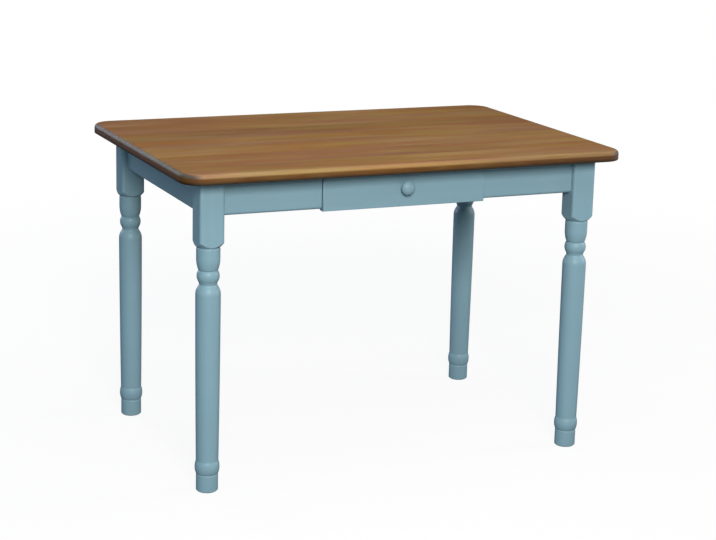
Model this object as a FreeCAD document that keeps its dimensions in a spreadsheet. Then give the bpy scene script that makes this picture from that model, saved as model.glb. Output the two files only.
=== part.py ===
import FreeCAD, Part
import math
import os
import re
import Sketcher

# Kitchen table with one drawer, in millimetres.
#
# +X runs along the table, +Y to its back and +Z up. The origin is on the floor, under the middle of
# the top. A glued panel lies on a frame of rails. Four turned legs are bolted to wooden blocks in the
# corners of that frame. Two guide boards run from the front of the frame to its back; they carry the
# short front rails and the strips that the drawer slides on.

# Every size that can be set by itself: name, millimetres, meaning.
SIZES = (
    ("table_height", 750, "floor to the upper face of the top"),
    ("top_length", 1100, "top, along X"),
    ("top_width", 750, "top, along Y"),
    ("top_thickness", 24, "thickness of the glued panel"),
    ("top_corner_radius", 50, "corners of the top, seen from above"),
    ("top_edge_round", 10, "rounding of the upper edge"),
    ("top_lower_round", 3, "rounding of the lower edge"),
    ("top_overhang", 51, "edge of the top to the outer face of a leg"),

    ("leg_block", 58, "square of the leg blank"),
    ("leg_block_length", 136, "square part at the head of a leg"),
    ("leg_edge_round", 7, "upright edges of the square part"),
    ("foot_radius", 25.3, "plain foot"),
    ("foot_bevel", 3, "lower edge of the foot"),
    ("foot_height", 42, "floor to the ring"),
    ("ring_height", 31, "ring above the foot"),
    ("ring_rise", 2.9, "how far the ring stands out"),
    ("column_foot_radius", 25.8, "lower end of the tapered column"),
    ("column_head_radius", 28.6, "upper end of the tapered column"),
    ("column_swell", 0.4, "how far the column bows out halfway up"),
    ("shoulder_height", 20, "round shoulder on the column"),
    ("neck_radius", 22, "edges of the cove and of the bead"),
    ("cove_height", 10, "cove between shoulder and bead"),
    ("cove_depth", 1.2, "hollow of the cove"),
    ("bead_height", 26, "bead below the vase"),
    ("bead_rise", 3.8, "how far the bead stands out"),
    ("vase_flare_height", 27, "lower, flared part of the vase"),
    ("vase_radius", 27, "straight part of the vase"),
    ("vase_straight_height", 27, "straight part of the vase"),
    ("pummel_height", 17, "turned shoulder below the square part"),
    ("pummel_bow", 60, "radius of that shoulder's line"),

    ("rail_height", 83, "rails, from their lower edge to the top"),
    ("rail_thickness", 20, "thickness of the rails"),
    ("rail_setback", 14, "outer face of a leg to the face of a rail"),
    ("rail_edge_round", 2, "lower edges of the rails"),

    ("brace_thickness", 22, "corner brace, along the diagonal"),
    ("brace_height", 55, "corner brace, upright"),
    ("brace_lift", 5, "lower edge of a rail to the brace"),
    ("brace_gap", 9, "corner of a leg to the brace"),
    ("brace_screw_reach", 46, "leg to the screws, along a rail"),
    ("brace_screw_grip", 14, "wood of the brace under a screw's head"),
    ("brace_pocket_radius", 4.5, "pocket for a screw's head in the brace"),

    ("bolt_radius", 4, "hanger bolt"),
    ("bolt_bite", 40, "hanger bolt inside the leg"),
    ("bolt_tail", 4, "hanger bolt beyond the nut"),
    ("bolt_fit", 0.1, "hole in the leg around the bolt"),
    ("bolt_clearance", 0.5, "hole in the brace around the bolt"),
    ("washer_radius", 12, "washer"),
    ("washer_thickness", 2, "washer"),
    ("washer_play", 0.3, "hole in the washer around the bolt"),
    ("nut_flats", 13, "hexagon nut, across flats"),
    ("nut_height", 6.5, "hexagon nut"),
    ("thread_fit", 0.05, "nut around the bolt"),

    ("guide_thickness", 18, "guide boards beside the drawer"),
    ("dowel_radius", 4, "dowels of the guide boards"),
    ("dowel_length", 32, "dowels of the guide boards"),
    ("dowel_in_rail", 13, "dowel inside a rail"),
    ("dowel_first", 17, "lower edge of a rail to the first dowel"),
    ("dowel_spacing", 30, "first dowel to the second"),
    ("dowel_fit", 0.05, "hole around a dowel"),

    ("runner_width", 16, "strip that the drawer slides on"),
    ("runner_height", 18, "strip that the drawer slides on"),
    ("runner_screw_inset", 50, "end of the strip to its first screw"),
    ("closing_stop_length", 25, "block behind the drawer"),
    ("closing_stop_height", 20, "block behind the drawer"),
    ("pullout_stop_length", 80, "block under the top"),
    ("pullout_stop_width", 20, "block under the top"),
    ("pullout_stop_drop", 12, "how far it hangs below the top"),
    ("pullout_screw_spacing", 50, "between its two screws"),

    ("button_width", 24, "wooden button, along the rail"),
    ("button_length", 25, "wooden button, out from the rail"),
    ("button_depth", 21.7, "wooden button, upright"),
    ("button_gap", 0.3, "button to the rail and to the top"),
    ("tongue_length", 7, "tongue of the button inside the rail"),
    ("tongue_height", 7, "tongue of the button"),
    ("button_groove_depth", 8, "groove for the tongues"),
    ("button_groove_height", 8, "groove for the tongues"),
    ("button_groove_drop", 12, "upper edge of a rail to the groove"),
    ("button_screw_inset", 13, "rail to the button's screw"),
    ("end_button_reach", 160, "leg to the buttons on the end rails"),
    ("back_button_room", 45.5, "guide boards to the buttons on the back rail"),

    ("screw_radius", 2, "shank of the wood screws"),
    ("screw_head_radius", 3.8, "sunk head of the wood screws"),
    ("screw_head_height", 2.3, "sunk head of the wood screws"),
    ("screw_fit", 0.1, "hole around a screw"),
    ("pilot_room", 0.5, "hole beyond a screw's end"),
    ("brace_screw_length", 30, "screws of the braces, with the head"),
    ("short_screw_length", 25, "screws of the strips and stops, with the head"),
    ("button_screw_length", 35, "screws of the buttons, with the head"),

    ("drawer_front_width", 408, "drawer, along X"),
    ("drawer_front_thickness", 20, "drawer front"),
    ("drawer_front_gap", 1.5, "drawer front to the short rail beside it"),
    ("drawer_front_proud", 5, "drawer front before the face of the rails"),
    ("drawer_front_drop", 5, "drawer front below the rails"),
    ("drawer_front_top_gap", 2, "drawer front to the top"),
    ("drawer_front_round", 3, "edges of the drawer front"),
    ("drawer_depth", 420, "drawer, from its face to its back"),
    ("drawer_travel", 300, "how far the drawer opens"),
    ("drawer_head_gap", 4, "drawer sides to the top"),
    ("slide_gap", 0.3, "running gap of the drawer"),
    ("side_thickness", 12, "drawer sides"),
    ("rebate_depth", 8, "seat of a side in the drawer front"),
    ("back_thickness", 12, "drawer back"),
    ("bottom_thickness", 4, "bottom panel"),
    ("bottom_lift", 6, "lower edge of the drawer sides to the panel"),
    ("bottom_groove_depth", 5, "groove for the panel"),
    ("bottom_groove_play", 0.2, "groove higher than the panel"),
    ("bottom_edge_play", 0.5, "panel short of the groove's floor"),
    ("small_dowel_radius", 3, "dowels of the drawer back"),
    ("small_dowel_length", 30, "dowels of the drawer back"),
    ("small_dowel_in_side", 9, "dowel inside a drawer side"),
    ("small_dowel_first", 12, "lower edge of the back to the first dowel"),
    ("small_dowel_spacing", 26, "first dowel to the second"),
    ("pin_radius", 1, "nails of the drawer front"),
    ("pin_length", 30, "nails of the drawer front"),
    ("pin_first", 15, "lower edge of a side to the first nail"),
    ("pin_spacing", 30, "first nail to the second"),
    ("small_screw_radius", 1.5, "screws of the bottom panel"),
    ("small_screw_length", 14, "screws of the bottom panel, with the head"),
    ("small_head_radius", 3, "head of those screws"),
    ("small_head_height", 1.6, "head of those screws"),
    ("bottom_screw_spacing", 130, "between those screws"),

    ("knob_height", 46, "lower edge of the drawer front to the knob"),
    ("knob_length", 25, "how far the knob stands out"),
    ("knob_base_radius", 9.5, "foot of the knob"),
    ("knob_base_height", 1.5, "foot of the knob"),
    ("knob_neck_radius", 7, "narrowest place of the knob"),
    ("knob_neck_height", 6, "narrowest place of the knob"),
    ("knob_radius", 16.5, "head of the knob"),
    ("knob_rim_height", 15, "lower edge of the head's rim"),
    ("knob_rim_width", 2.5, "straight rim between underside and dome"),
    ("knob_hole_depth", 15, "screw hole in the knob"),
    ("knob_screw_bite", 14, "screw inside the knob"),
    ("knob_head_radius", 4, "head of the knob's screw"),
    ("knob_head_height", 2.6, "head of the knob's screw"),
)

RUNNER_SCREWS = 3       # in each strip
SIZE_NAMES = {name for name, number, meaning in SIZES}
UP = FreeCAD.Vector(0, 0, 1)
TINY = 1e-4


# ---- places that several pieces share, as formulas of the sizes ----

UNDER_TOP = "(table_height - top_thickness)"
LEG_X = "(top_length / 2 - top_overhang - leg_block / 2)"
LEG_Y = "(top_width / 2 - top_overhang - leg_block / 2)"
LEG_CORNER = "(leg_block / sqrt(2) - leg_edge_round * (sqrt(2) - 1))"

RAIL_BOTTOM = f"({UNDER_TOP} - rail_height)"
LONG_RAIL_FACE = "(top_width / 2 - top_overhang - rail_setback)"
END_RAIL_FACE = "(top_length / 2 - top_overhang - rail_setback)"
LONG_RAIL_INSIDE = f"({LONG_RAIL_FACE} - rail_thickness)"
LONG_RAIL_END = f"({LEG_X} - leg_block / 2)"
END_RAIL_END = f"({LEG_Y} - leg_block / 2)"
RAIL_SEAT = "(rail_setback + rail_thickness - leg_block / 2)"    # inner face of a rail, from a leg's axis
OPENING_EDGE = "(drawer_front_width / 2 + drawer_front_gap)"

BRACE_NEAR = f"({LEG_CORNER} + brace_gap)"                       # faces of a brace, along the diagonal
BRACE_FAR = f"({BRACE_NEAR} + brace_thickness)"
BRACE_BOTTOM = f"({RAIL_BOTTOM} + brace_lift)"
BRACE_MIDDLE = f"({BRACE_BOTTOM} + brace_height / 2)"

DRAWER_EDGE = "(drawer_front_width / 2)"
FRONT_FACE = f"({LONG_RAIL_FACE} + drawer_front_proud)"
FRONT_REAR = f"({FRONT_FACE} - drawer_front_thickness)"
FRONT_BOTTOM = f"({RAIL_BOTTOM} - drawer_front_drop)"
BOX_BOTTOM = f"({RAIL_BOTTOM} + runner_height + slide_gap)"
BOX_TOP = f"({UNDER_TOP} - drawer_head_gap)"
BOX_END = f"(drawer_depth - {FRONT_FACE})"                       # rear face of the closed drawer
BACK_FACE = f"({BOX_END} - back_thickness)"
PANEL_BOTTOM = f"({BOX_BOTTOM} + bottom_lift)"
PANEL_TOP = f"({PANEL_BOTTOM} + bottom_thickness)"
KNOB_LEVEL = f"({FRONT_BOTTOM} + knob_height)"

GUIDE_LENGTH = f"(2 * {LONG_RAIL_INSIDE})"
STOP_FRONT = f"({BACK_FACE} - drawer_travel - slide_gap)"        # rear face of the pull-out stop

# Turn of a piece that is drawn as if it were at the front, or at the front left corner.
TURN_DEGREES = {"front": 0, "right": 90, "back": 180, "left": 270}

# Corners of the frame: name, side along X, side along Y, and which turn brings the front left there.
CORNERS = (
    ("front_left", -1, -1, "front"),
    ("front_right", 1, -1, "right"),
    ("back_right", 1, 1, "back"),
    ("back_left", -1, 1, "left"),
)

# Frames of the rails: x, y and z of the rail's lower outer corner, from where its length runs along
# +X and its inside faces +Y, and its turn.
SHORT_RAIL = f"({LONG_RAIL_END} - {OPENING_EDGE})"
BACK_RAIL = f"(2 * {LONG_RAIL_END})"
END_RAIL = f"(2 * {END_RAIL_END})"
RAIL_FRAMES = {
    "rail_front_left": (f"-1 * {LONG_RAIL_END}", f"-1 * {LONG_RAIL_FACE}", RAIL_BOTTOM, "front"),
    "rail_front_right": (OPENING_EDGE, f"-1 * {LONG_RAIL_FACE}", RAIL_BOTTOM, "front"),
    "rail_back": (LONG_RAIL_END, LONG_RAIL_FACE, RAIL_BOTTOM, "back"),
    "rail_left": (f"-1 * {END_RAIL_FACE}", END_RAIL_END, RAIL_BOTTOM, "left"),
    "rail_right": (END_RAIL_FACE, f"-1 * {END_RAIL_END}", RAIL_BOTTOM, "right"),
}
RAIL_LENGTHS = {
    "rail_front_left": SHORT_RAIL,
    "rail_front_right": SHORT_RAIL,
    "rail_back": BACK_RAIL,
    "rail_left": END_RAIL,
    "rail_right": END_RAIL,
}
# Buttons, by their place along the rail.
BACK_BUTTON = f"({SHORT_RAIL} - guide_thickness - back_button_room - button_width / 2)"
BUTTON_PLACES = (
    ("rail_front_left", f"{SHORT_RAIL} / 2"),
    ("rail_front_right", f"{SHORT_RAIL} / 2"),
    ("rail_back", BACK_BUTTON),
    ("rail_back", f"{BACK_RAIL} - {BACK_BUTTON}"),
    ("rail_left", "end_button_reach"),
    ("rail_left", f"{END_RAIL} - end_button_reach"),
    ("rail_right", "end_button_reach"),
    ("rail_right", f"{END_RAIL} - end_button_reach"),
)

doc = FreeCAD.newDocument("kitchen_table")
sheet = doc.addObject("Spreadsheet::Sheet", "Sizes")
nodes = []


# ---- helpers: formulas, sketches and features ----

def fill_sheet():
    """Write every size into the sheet: name, number under an alias, meaning."""
    for row, (name, number, meaning) in enumerate(SIZES, 1):
        sheet.set(f"A{row}", name)
        sheet.set(f"B{row}", str(number))
        sheet.set(f"C{row}", meaning)
        sheet.setAlias(f"B{row}", name)
    doc.recompute()


def formula(text):
    """The formula with each size's name made a reference to its cell."""
    def refer(word):
        name = word.group()
        return f"Sizes.{name}" if name in SIZE_NAMES else name
    return re.sub(r"[a-z_]+", refer, text)


def value(text):
    """The number that a formula gives now."""
    return float(sheet.evalExpression(text))


def bind(thing, field, text):
    """Tie a property to a formula of the sizes."""
    thing.setExpression(field, formula(text))


def bind_base(thing, spot):
    """Tie the place of a thing to three formulas."""
    for axis, text in zip("xyz", spot):
        bind(thing, f"Placement.Base.{axis}", text)


def in_frame(frame, along, inward, up):
    """Formulas, in the table's frame, of a spot given in a frame that has a turn of its own."""
    x, y, z, turn = frame
    cosine = round(math.cos(math.radians(TURN_DEGREES[turn])))
    sine = round(math.sin(math.radians(TURN_DEGREES[turn])))
    return (
        f"{x} + ({cosine}) * ({along}) - ({sine}) * ({inward})",
        f"{y} + ({sine}) * ({along}) + ({cosine}) * ({inward})",
        f"{z} + ({up})",
    )


def turn_of(name):
    """The turn about the upright axis that a name stands for."""
    return FreeCAD.Rotation(UP, TURN_DEGREES[name])


def new_body(label, spot=("0", "0", "0"), turn="front"):
    """An empty body with its own label and place."""
    body = doc.addObject("PartDesign::Body", label)
    body.Label = label
    body.Placement = FreeCAD.Placement(FreeCAD.Vector(), turn_of(turn))
    bind_base(body, spot)
    return body


def new_sketch(body, name, role):
    """A sketch on one of the body's own origin planes."""
    sketch = body.newObject("Sketcher::SketchObject", name)
    plane = [feature for feature in body.Origin.OriginFeatures if feature.Role == role][0]
    sketch.AttachmentSupport = [(plane, "")]
    sketch.MapMode = "FlatFace"
    return sketch


def side_of_outline(start, end, radius, centre_on_left):
    """A straight or round side, and which of its vertices is the start."""
    if radius is None:
        return Part.LineSegment(start, end), 1
    chord = end - start
    middle = (start + end) * 0.5
    left = FreeCAD.Vector(-chord.y, chord.x, 0).normalize()
    height = math.sqrt(radius ** 2 - chord.Length ** 2 / 4)
    centre = middle + left * (height if centre_on_left else -height)
    circle = Part.Circle(centre, UP, radius)
    angles = [math.atan2(point.y - centre.y, point.x - centre.x) for point in (start, end)]
    if centre_on_left:
        return Part.ArcOfCircle(circle, angles[0], angles[1]), 1
    return Part.ArcOfCircle(circle, angles[1], angles[0]), 2


def draw_outline(sketch, corners, arcs=None):
    """A closed outline through corners given as formulas, fully constrained.

    arcs maps the number of a side, counted from the corner it starts at, to the formula of its
    radius and whether its centre lies on the left of the way along it.
    """
    arcs = arcs or {}
    points = [FreeCAD.Vector(value(across), value(up), 0) for across, up in corners]
    sides = []
    for number, start in enumerate(points):
        end = points[(number + 1) % len(points)]
        radius, on_left = arcs.get(number, (None, True))
        curve, start_vertex = side_of_outline(start, end, radius and value(radius), on_left)
        sides.append((sketch.addGeometry(curve, False), start_vertex))
    for number, (geometry, start_vertex) in enumerate(sides):
        following, following_start = sides[(number + 1) % len(sides)]
        end_vertex = 3 - start_vertex
        sketch.addConstraint(
            Sketcher.Constraint("Coincident", geometry, end_vertex, following, following_start))
    for number, (geometry, start_vertex) in enumerate(sides):
        across, up = corners[number]
        for kind, axis, text in (("DistanceX", -2, across), ("DistanceY", -1, up)):
            if text == "0":
                sketch.addConstraint(Sketcher.Constraint("PointOnObject", geometry, start_vertex, axis))
                continue
            index = sketch.addConstraint(
                Sketcher.Constraint(kind, -1, 1, geometry, start_vertex, value(text)))
            bind(sketch, f"Constraints[{index}]", text)
        if number in arcs:
            index = sketch.addConstraint(Sketcher.Constraint("Radius", geometry, value(arcs[number][0])))
            bind(sketch, f"Constraints[{index}]", arcs[number][0])


def rectangle(sketch, corner, size):
    """A rectangle from its lower left corner and its size."""
    x, y = corner
    width, depth = size
    draw_outline(sketch, (
        (x, y),
        (f"{x} + {width}", y),
        (f"{x} + {width}", f"{y} + {depth}"),
        (x, f"{y} + {depth}"),
    ))


def add_feature(body, kind, name, **formulas):
    """A feature of the body with the named properties tied to formulas."""
    feature = body.newObject(f"PartDesign::{kind}", name)
    for field, text in formulas.items():
        bind(feature, field, text)
    return feature


def pad(body, name, sketch, length):
    """Give a sketch its thickness, along the normal of its plane."""
    feature = add_feature(body, "Pad", name, Length=length)
    feature.Profile = sketch
    doc.recompute()
    return feature


def revolve(body, name, sketch, kind="Revolution"):
    """Turn a sketch about its own upright axis, to add wood or, as a Groove, to take it away."""
    before = body.Shape.Volume if body.Shape and not body.Shape.isNull() else 0
    feature = body.newObject(f"PartDesign::{kind}", name)
    feature.Profile = sketch
    feature.ReferenceAxis = (sketch, ["V_Axis"])
    feature.Angle = 360
    doc.recompute()
    if kind == "Groove" and not body.Shape.Volume < before:
        raise RuntimeError(f"{name} in {body.Label} takes nothing away")
    return feature


def edge_names(shape, test):
    """Names of the edges whose bounding box passes a test."""
    return [f"Edge{number}" for number, edge in enumerate(shape.Edges, 1) if test(edge.BoundBox)]


def soften(body, name, radius, test, kind="Fillet"):
    """Round, or bevel, the edges that a test picks."""
    base = body.Tip
    names = edge_names(base.Shape, test)
    if not names:
        raise RuntimeError(f"{name} in {body.Label} finds no edge")
    feature = add_feature(body, kind, name, **{"Radius" if kind == "Fillet" else "Size": radius})
    feature.Base = (base, names)
    doc.recompute()
    return feature


def upright(box):
    """Edges that run straight up."""
    return box.XLength < TINY and box.YLength < TINY


def level_at(height):
    """Edges that lie at one height."""
    return lambda box: box.ZLength < TINY and abs(box.ZMin - height) < TINY


def take_away(body, feature, spot, direction=(0, 0, 1)):
    """Place a subtractive primitive and check that it cuts."""
    before = body.Shape.Volume
    feature.Placement = FreeCAD.Placement(FreeCAD.Vector(), FreeCAD.Rotation(UP, FreeCAD.Vector(*direction)))
    bind_base(feature, spot)
    doc.recompute()
    if not body.Shape.Volume < before:
        raise RuntimeError(f"{feature.Label} in {body.Label} cuts nothing")


def cut_box(body, name, size, spot):
    """Cut a rectangular groove or rebate."""
    length, width, height = size
    box = add_feature(body, "SubtractiveBox", name, Length=length, Width=width, Height=height)
    take_away(body, box, spot)


def drill(body, name, radius, depth, spot, direction):
    """Drill a round hole from a spot along a direction."""
    hole = add_feature(body, "SubtractiveCylinder", name, Radius=radius, Height=depth)
    take_away(body, hole, spot, direction)


def sink_screw(body, name, depth, spot, direction):
    """Clearance hole with a counterbore, from the face that the screw's head is flush with."""
    drill(body, f"{name}_seat", "screw_head_radius + screw_fit", "screw_head_height", spot, direction)
    drill(body, name, "screw_radius + screw_fit", depth, spot, direction)


def board(label, size, spot, turn="front"):
    """A plain rectangular board from its lower corner."""
    length, width, height = size
    body = new_body(label, spot, turn)
    outline = new_sketch(body, f"{label}_outline", "XY_Plane")
    rectangle(outline, ("0", "0"), (length, width))
    pad(body, f"{label}_board", outline, height)
    return body


def copy_of(master, spot, direction=(0, 0, 1)):
    """A linked copy of a small part, its own +Z turned to a direction."""
    link = doc.addObject("App::Link", f"{master.Name}_copy")
    link.LinkedObject = master
    link.Placement = FreeCAD.Placement(FreeCAD.Vector(), FreeCAD.Rotation(UP, FreeCAD.Vector(*direction)))
    bind_base(link, spot)
    return link


def group(label, copies):
    """Separate solids that share one node."""
    compound = doc.addObject("Part::Compound", label)
    compound.Label = label
    compound.Links = copies
    nodes.append(compound)
    return compound


# ---- the top ----

def button_spot(rail, along):
    """Foot of a button's screw, in the table's frame."""
    inward = "rail_thickness + button_screw_inset"
    return in_frame(RAIL_FRAMES[rail], along, inward, "rail_height - button_gap - button_depth")


def make_tabletop():
    """Glued panel with rounded corners and edges, and pilot holes for the screws below it."""
    top = new_body("tabletop", ("0", "0", UNDER_TOP))
    outline = new_sketch(top, "panel_outline", "XY_Plane")
    rectangle(outline, ("-1 * top_length / 2", "-1 * top_width / 2"), ("top_length", "top_width"))
    pad(top, "panel", outline, "top_thickness")
    soften(top, "plan_corners", "top_corner_radius", upright)
    soften(top, "upper_edge", "top_edge_round", level_at(value("top_thickness")))
    soften(top, "lower_edge", "top_lower_round", level_at(0))
    button_bite = "button_screw_length - button_depth - button_gap + pilot_room"
    for number, (rail, along) in enumerate(BUTTON_PLACES):
        x, y, z = button_spot(rail, along)
        drill(top, f"button_pilot_{number}", "screw_radius + screw_fit", button_bite, (x, y, "0"), (0, 0, 1))
    stop_bite = "short_screw_length - pullout_stop_drop + pilot_room"
    for number, side in enumerate((-1, 1)):
        x, y, z = pullout_screw_spot(side)
        drill(top, f"stop_pilot_{number}", "screw_radius + screw_fit", stop_bite, (x, y, "0"), (0, 0, 1))
    nodes.append(top)


# ---- the legs ----

def low_arc(height, rise):
    """Radius of an arc from the height of its chord and how far it stands off."""
    return f"((({height}) / 2) ^ 2 + ({rise}) ^ 2) / (2 * ({rise}))"


def running_in_arc(height, step):
    """Radius of an arc that leaves an upright line and moves a step sideways over a height."""
    return f"(({height}) ^ 2 + ({step}) ^ 2) / (2 * ({step}))"


def turning_outline():
    """What the lathe takes off the square blank: corners as radius and height, and round sides."""
    block_bottom = f"({UNDER_TOP} - leg_block_length)"
    vase_top = f"({block_bottom} - pummel_height)"
    vase_bottom = f"({vase_top} - vase_straight_height)"
    bead_top = f"({vase_bottom} - vase_flare_height)"
    bead_bottom = f"({bead_top} - bead_height)"
    shoulder_top = f"({bead_bottom} - cove_height)"
    column_top = f"({shoulder_top} - shoulder_height)"
    ring_top = "(foot_height + ring_height)"
    blank_corner = "(leg_block / sqrt(2))"
    corners = (
        ("foot_radius - foot_bevel", "0"),
        ("foot_radius", "foot_bevel"),
        ("foot_radius", "foot_height"),
        ("column_foot_radius", ring_top),
        ("column_head_radius", column_top),
        ("neck_radius", shoulder_top),
        ("neck_radius", bead_bottom),
        ("neck_radius", bead_top),
        ("vase_radius", vase_bottom),
        ("vase_radius", vase_top),
        (blank_corner, block_bottom),
        (blank_corner, "0"),
    )
    arcs = {
        2: (low_arc("ring_height", "ring_rise"), True),
        3: (low_arc(f"{column_top} - {ring_top}", "column_swell"), True),
        4: (running_in_arc("shoulder_height", "column_head_radius - neck_radius"), True),
        5: (low_arc("cove_height", "cove_depth"), False),
        6: (low_arc("bead_height", "bead_rise"), True),
        7: (running_in_arc("vase_flare_height", "vase_radius - neck_radius"), True),
        9: ("pummel_bow", True),
    }
    return corners, arcs


def make_leg(corner, side_x, side_y, turn):
    """Turned leg: a square blank, all but its head turned round, and a bolt hole in the inner edge."""
    leg = new_body(f"leg_{corner}", (f"{side_x} * {LEG_X}", f"{side_y} * {LEG_Y}", "0"), turn)
    blank = new_sketch(leg, f"blank_{corner}", "XY_Plane")
    rectangle(blank, ("-1 * leg_block / 2", "-1 * leg_block / 2"), ("leg_block", "leg_block"))
    pad(leg, f"square_blank_{corner}", blank, UNDER_TOP)
    soften(leg, f"eased_edges_{corner}", "leg_edge_round", upright)
    turning = new_sketch(leg, f"turning_{corner}", "XZ_Plane")
    draw_outline(turning, *turning_outline())
    revolve(leg, f"turned_part_{corner}", turning, "Groove")
    rim = "leg_block / 2"
    depth = f"leg_block / sqrt(2) - {LEG_CORNER} + bolt_bite + pilot_room"
    drill(leg, f"bolt_hole_{corner}", "bolt_radius + bolt_fit", depth, (rim, rim, BRACE_MIDDLE), (-1, -1, 0))
    nodes.append(leg)


# ---- the frame of rails ----

def dowel_levels():
    """Heights of the guide boards' dowels above the rails' lower edge."""
    return ("dowel_first", "dowel_first + dowel_spacing")


def make_rail(label, leg_reaches, guide_reaches):
    """A rail with its groove for the buttons, pilot holes at the braces and holes for dowels."""
    length = RAIL_LENGTHS[label]
    x, y, z, turn = RAIL_FRAMES[label]
    rail = board(label, (length, "rail_thickness", "rail_height"), (x, y, z), turn)
    across = value(length)
    soften(rail, f"{label}_lower_edges", "rail_edge_round",
           lambda box: level_at(0)(box) and abs(box.XLength - across) < TINY)
    groove_bottom = "rail_height - button_groove_drop - button_groove_height"
    cut_box(rail, f"{label}_button_groove",
            (length, "button_groove_depth", "button_groove_height"),
            ("0", "rail_thickness - button_groove_depth", groove_bottom))
    for end, reach in enumerate(leg_reaches):
        drill(rail, f"{label}_pilot_{end}", "screw_radius + screw_fit",
              "brace_screw_length - screw_head_height - brace_screw_grip + pilot_room",
              (reach, "rail_thickness", "brace_lift + brace_height / 2"), (0, -1, 0))
    for end, reach in enumerate(guide_reaches):
        for row, level in enumerate(dowel_levels()):
            drill(rail, f"{label}_dowel_{end}{row}", "dowel_radius + dowel_fit",
                  "dowel_in_rail + pilot_room", (reach, "rail_thickness", level), (0, -1, 0))
    nodes.append(rail)


def make_rails():
    """Two short front rails beside the drawer, one back rail and two end rails."""
    near = "brace_screw_reach"
    make_rail("rail_front_left", (near,), (f"{SHORT_RAIL} - guide_thickness / 2",))
    make_rail("rail_front_right", (f"{SHORT_RAIL} - brace_screw_reach",), ("guide_thickness / 2",))
    guide = f"{SHORT_RAIL} - guide_thickness / 2"
    make_rail("rail_back", (near, f"{BACK_RAIL} - brace_screw_reach"), (guide, f"{BACK_RAIL} - ({guide})"))
    for label in ("rail_left", "rail_right"):
        make_rail(label, (near, f"{END_RAIL} - brace_screw_reach"), ())


# ---- corner braces, hanger bolts and their screws ----

def brace_screw_places(height_of_head):
    """Place and direction of a brace's two screws, in the frame of a leg, at a height above the grip."""
    along = "leg_block / 2 + brace_screw_reach"
    across = f"{RAIL_SEAT} + brace_screw_grip + {height_of_head}"
    middle = "brace_height / 2"
    return (((along, across, middle), (0, -1, 0)), ((across, along, middle), (-1, 0, 0)))


def make_brace(corner, side_x, side_y, turn):
    """Wooden block across a corner of the frame, with mitred ends against both rails."""
    spot = (f"{side_x} * {LEG_X}", f"{side_y} * {LEG_Y}", BRACE_BOTTOM)
    brace = new_body(f"corner_brace_{corner}", spot, turn)
    near = f"{BRACE_NEAR} * sqrt(2) - {RAIL_SEAT}"
    far = f"{BRACE_FAR} * sqrt(2) - {RAIL_SEAT}"
    outline = new_sketch(brace, f"brace_outline_{corner}", "XY_Plane")
    draw_outline(outline, ((near, RAIL_SEAT), (far, RAIL_SEAT), (RAIL_SEAT, far), (RAIL_SEAT, near)))
    pad(brace, f"brace_block_{corner}", outline, "brace_height")
    mouth = f"{BRACE_NEAR} / sqrt(2)"
    drill(brace, f"brace_bolt_hole_{corner}", "bolt_radius + bolt_clearance", "brace_thickness",
          (mouth, mouth, "brace_height / 2"), (1, 1, 0))
    for number, (spot, direction) in enumerate(brace_screw_places("0")):
        drill(brace, f"brace_hole_{corner}_{number}", "screw_radius + screw_fit", "brace_screw_grip",
              spot, direction)
        outward = tuple(-part for part in direction)
        drill(brace, f"brace_pocket_{corner}_{number}", "brace_pocket_radius", "brace_thickness",
              spot, outward)
    nodes.append(brace)


def make_screw(name, radius, length, head_radius, head_height):
    """Plain screw along +Z, from the outer face of its head to the end of its shank."""
    screw = new_body(name)
    outline = new_sketch(screw, f"{name}_outline", "XZ_Plane")
    draw_outline(outline, (
        ("0", "0"),
        (head_radius, "0"),
        (head_radius, head_height),
        (radius, head_height),
        (radius, length),
        ("0", length),
    ))
    revolve(screw, f"{name}_turned", outline)
    return screw


def make_wood_screw(name, length):
    """Screw of the usual thickness whose head is sunk flush."""
    return make_screw(name, "screw_radius", length, "screw_head_radius", "screw_head_height")


def make_rod(name, radius, length):
    """Plain round rod along +Z, for a bolt, a dowel or a nail."""
    rod = new_body(name)
    add_feature(rod, "AdditiveCylinder", f"{name}_round", Radius=radius, Height=length)
    doc.recompute()
    return rod


def make_washer():
    """Flat washer."""
    washer = make_rod("washer", "washer_radius", "washer_thickness")
    drill(washer, "washer_hole", "bolt_radius + washer_play", "washer_thickness", ("0", "0", "0"), (0, 0, 1))
    return washer


def make_nut():
    """Hexagon nut."""
    nut = new_body("hexagon_nut")
    prism = add_feature(nut, "AdditivePrism", "nut_hexagon",
                        Circumradius="nut_flats / sqrt(3)", Height="nut_height")
    prism.Polygon = 6
    doc.recompute()
    drill(nut, "nut_hole", "bolt_radius + thread_fit", "nut_height", ("0", "0", "0"), (0, 0, 1))
    return nut


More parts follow.
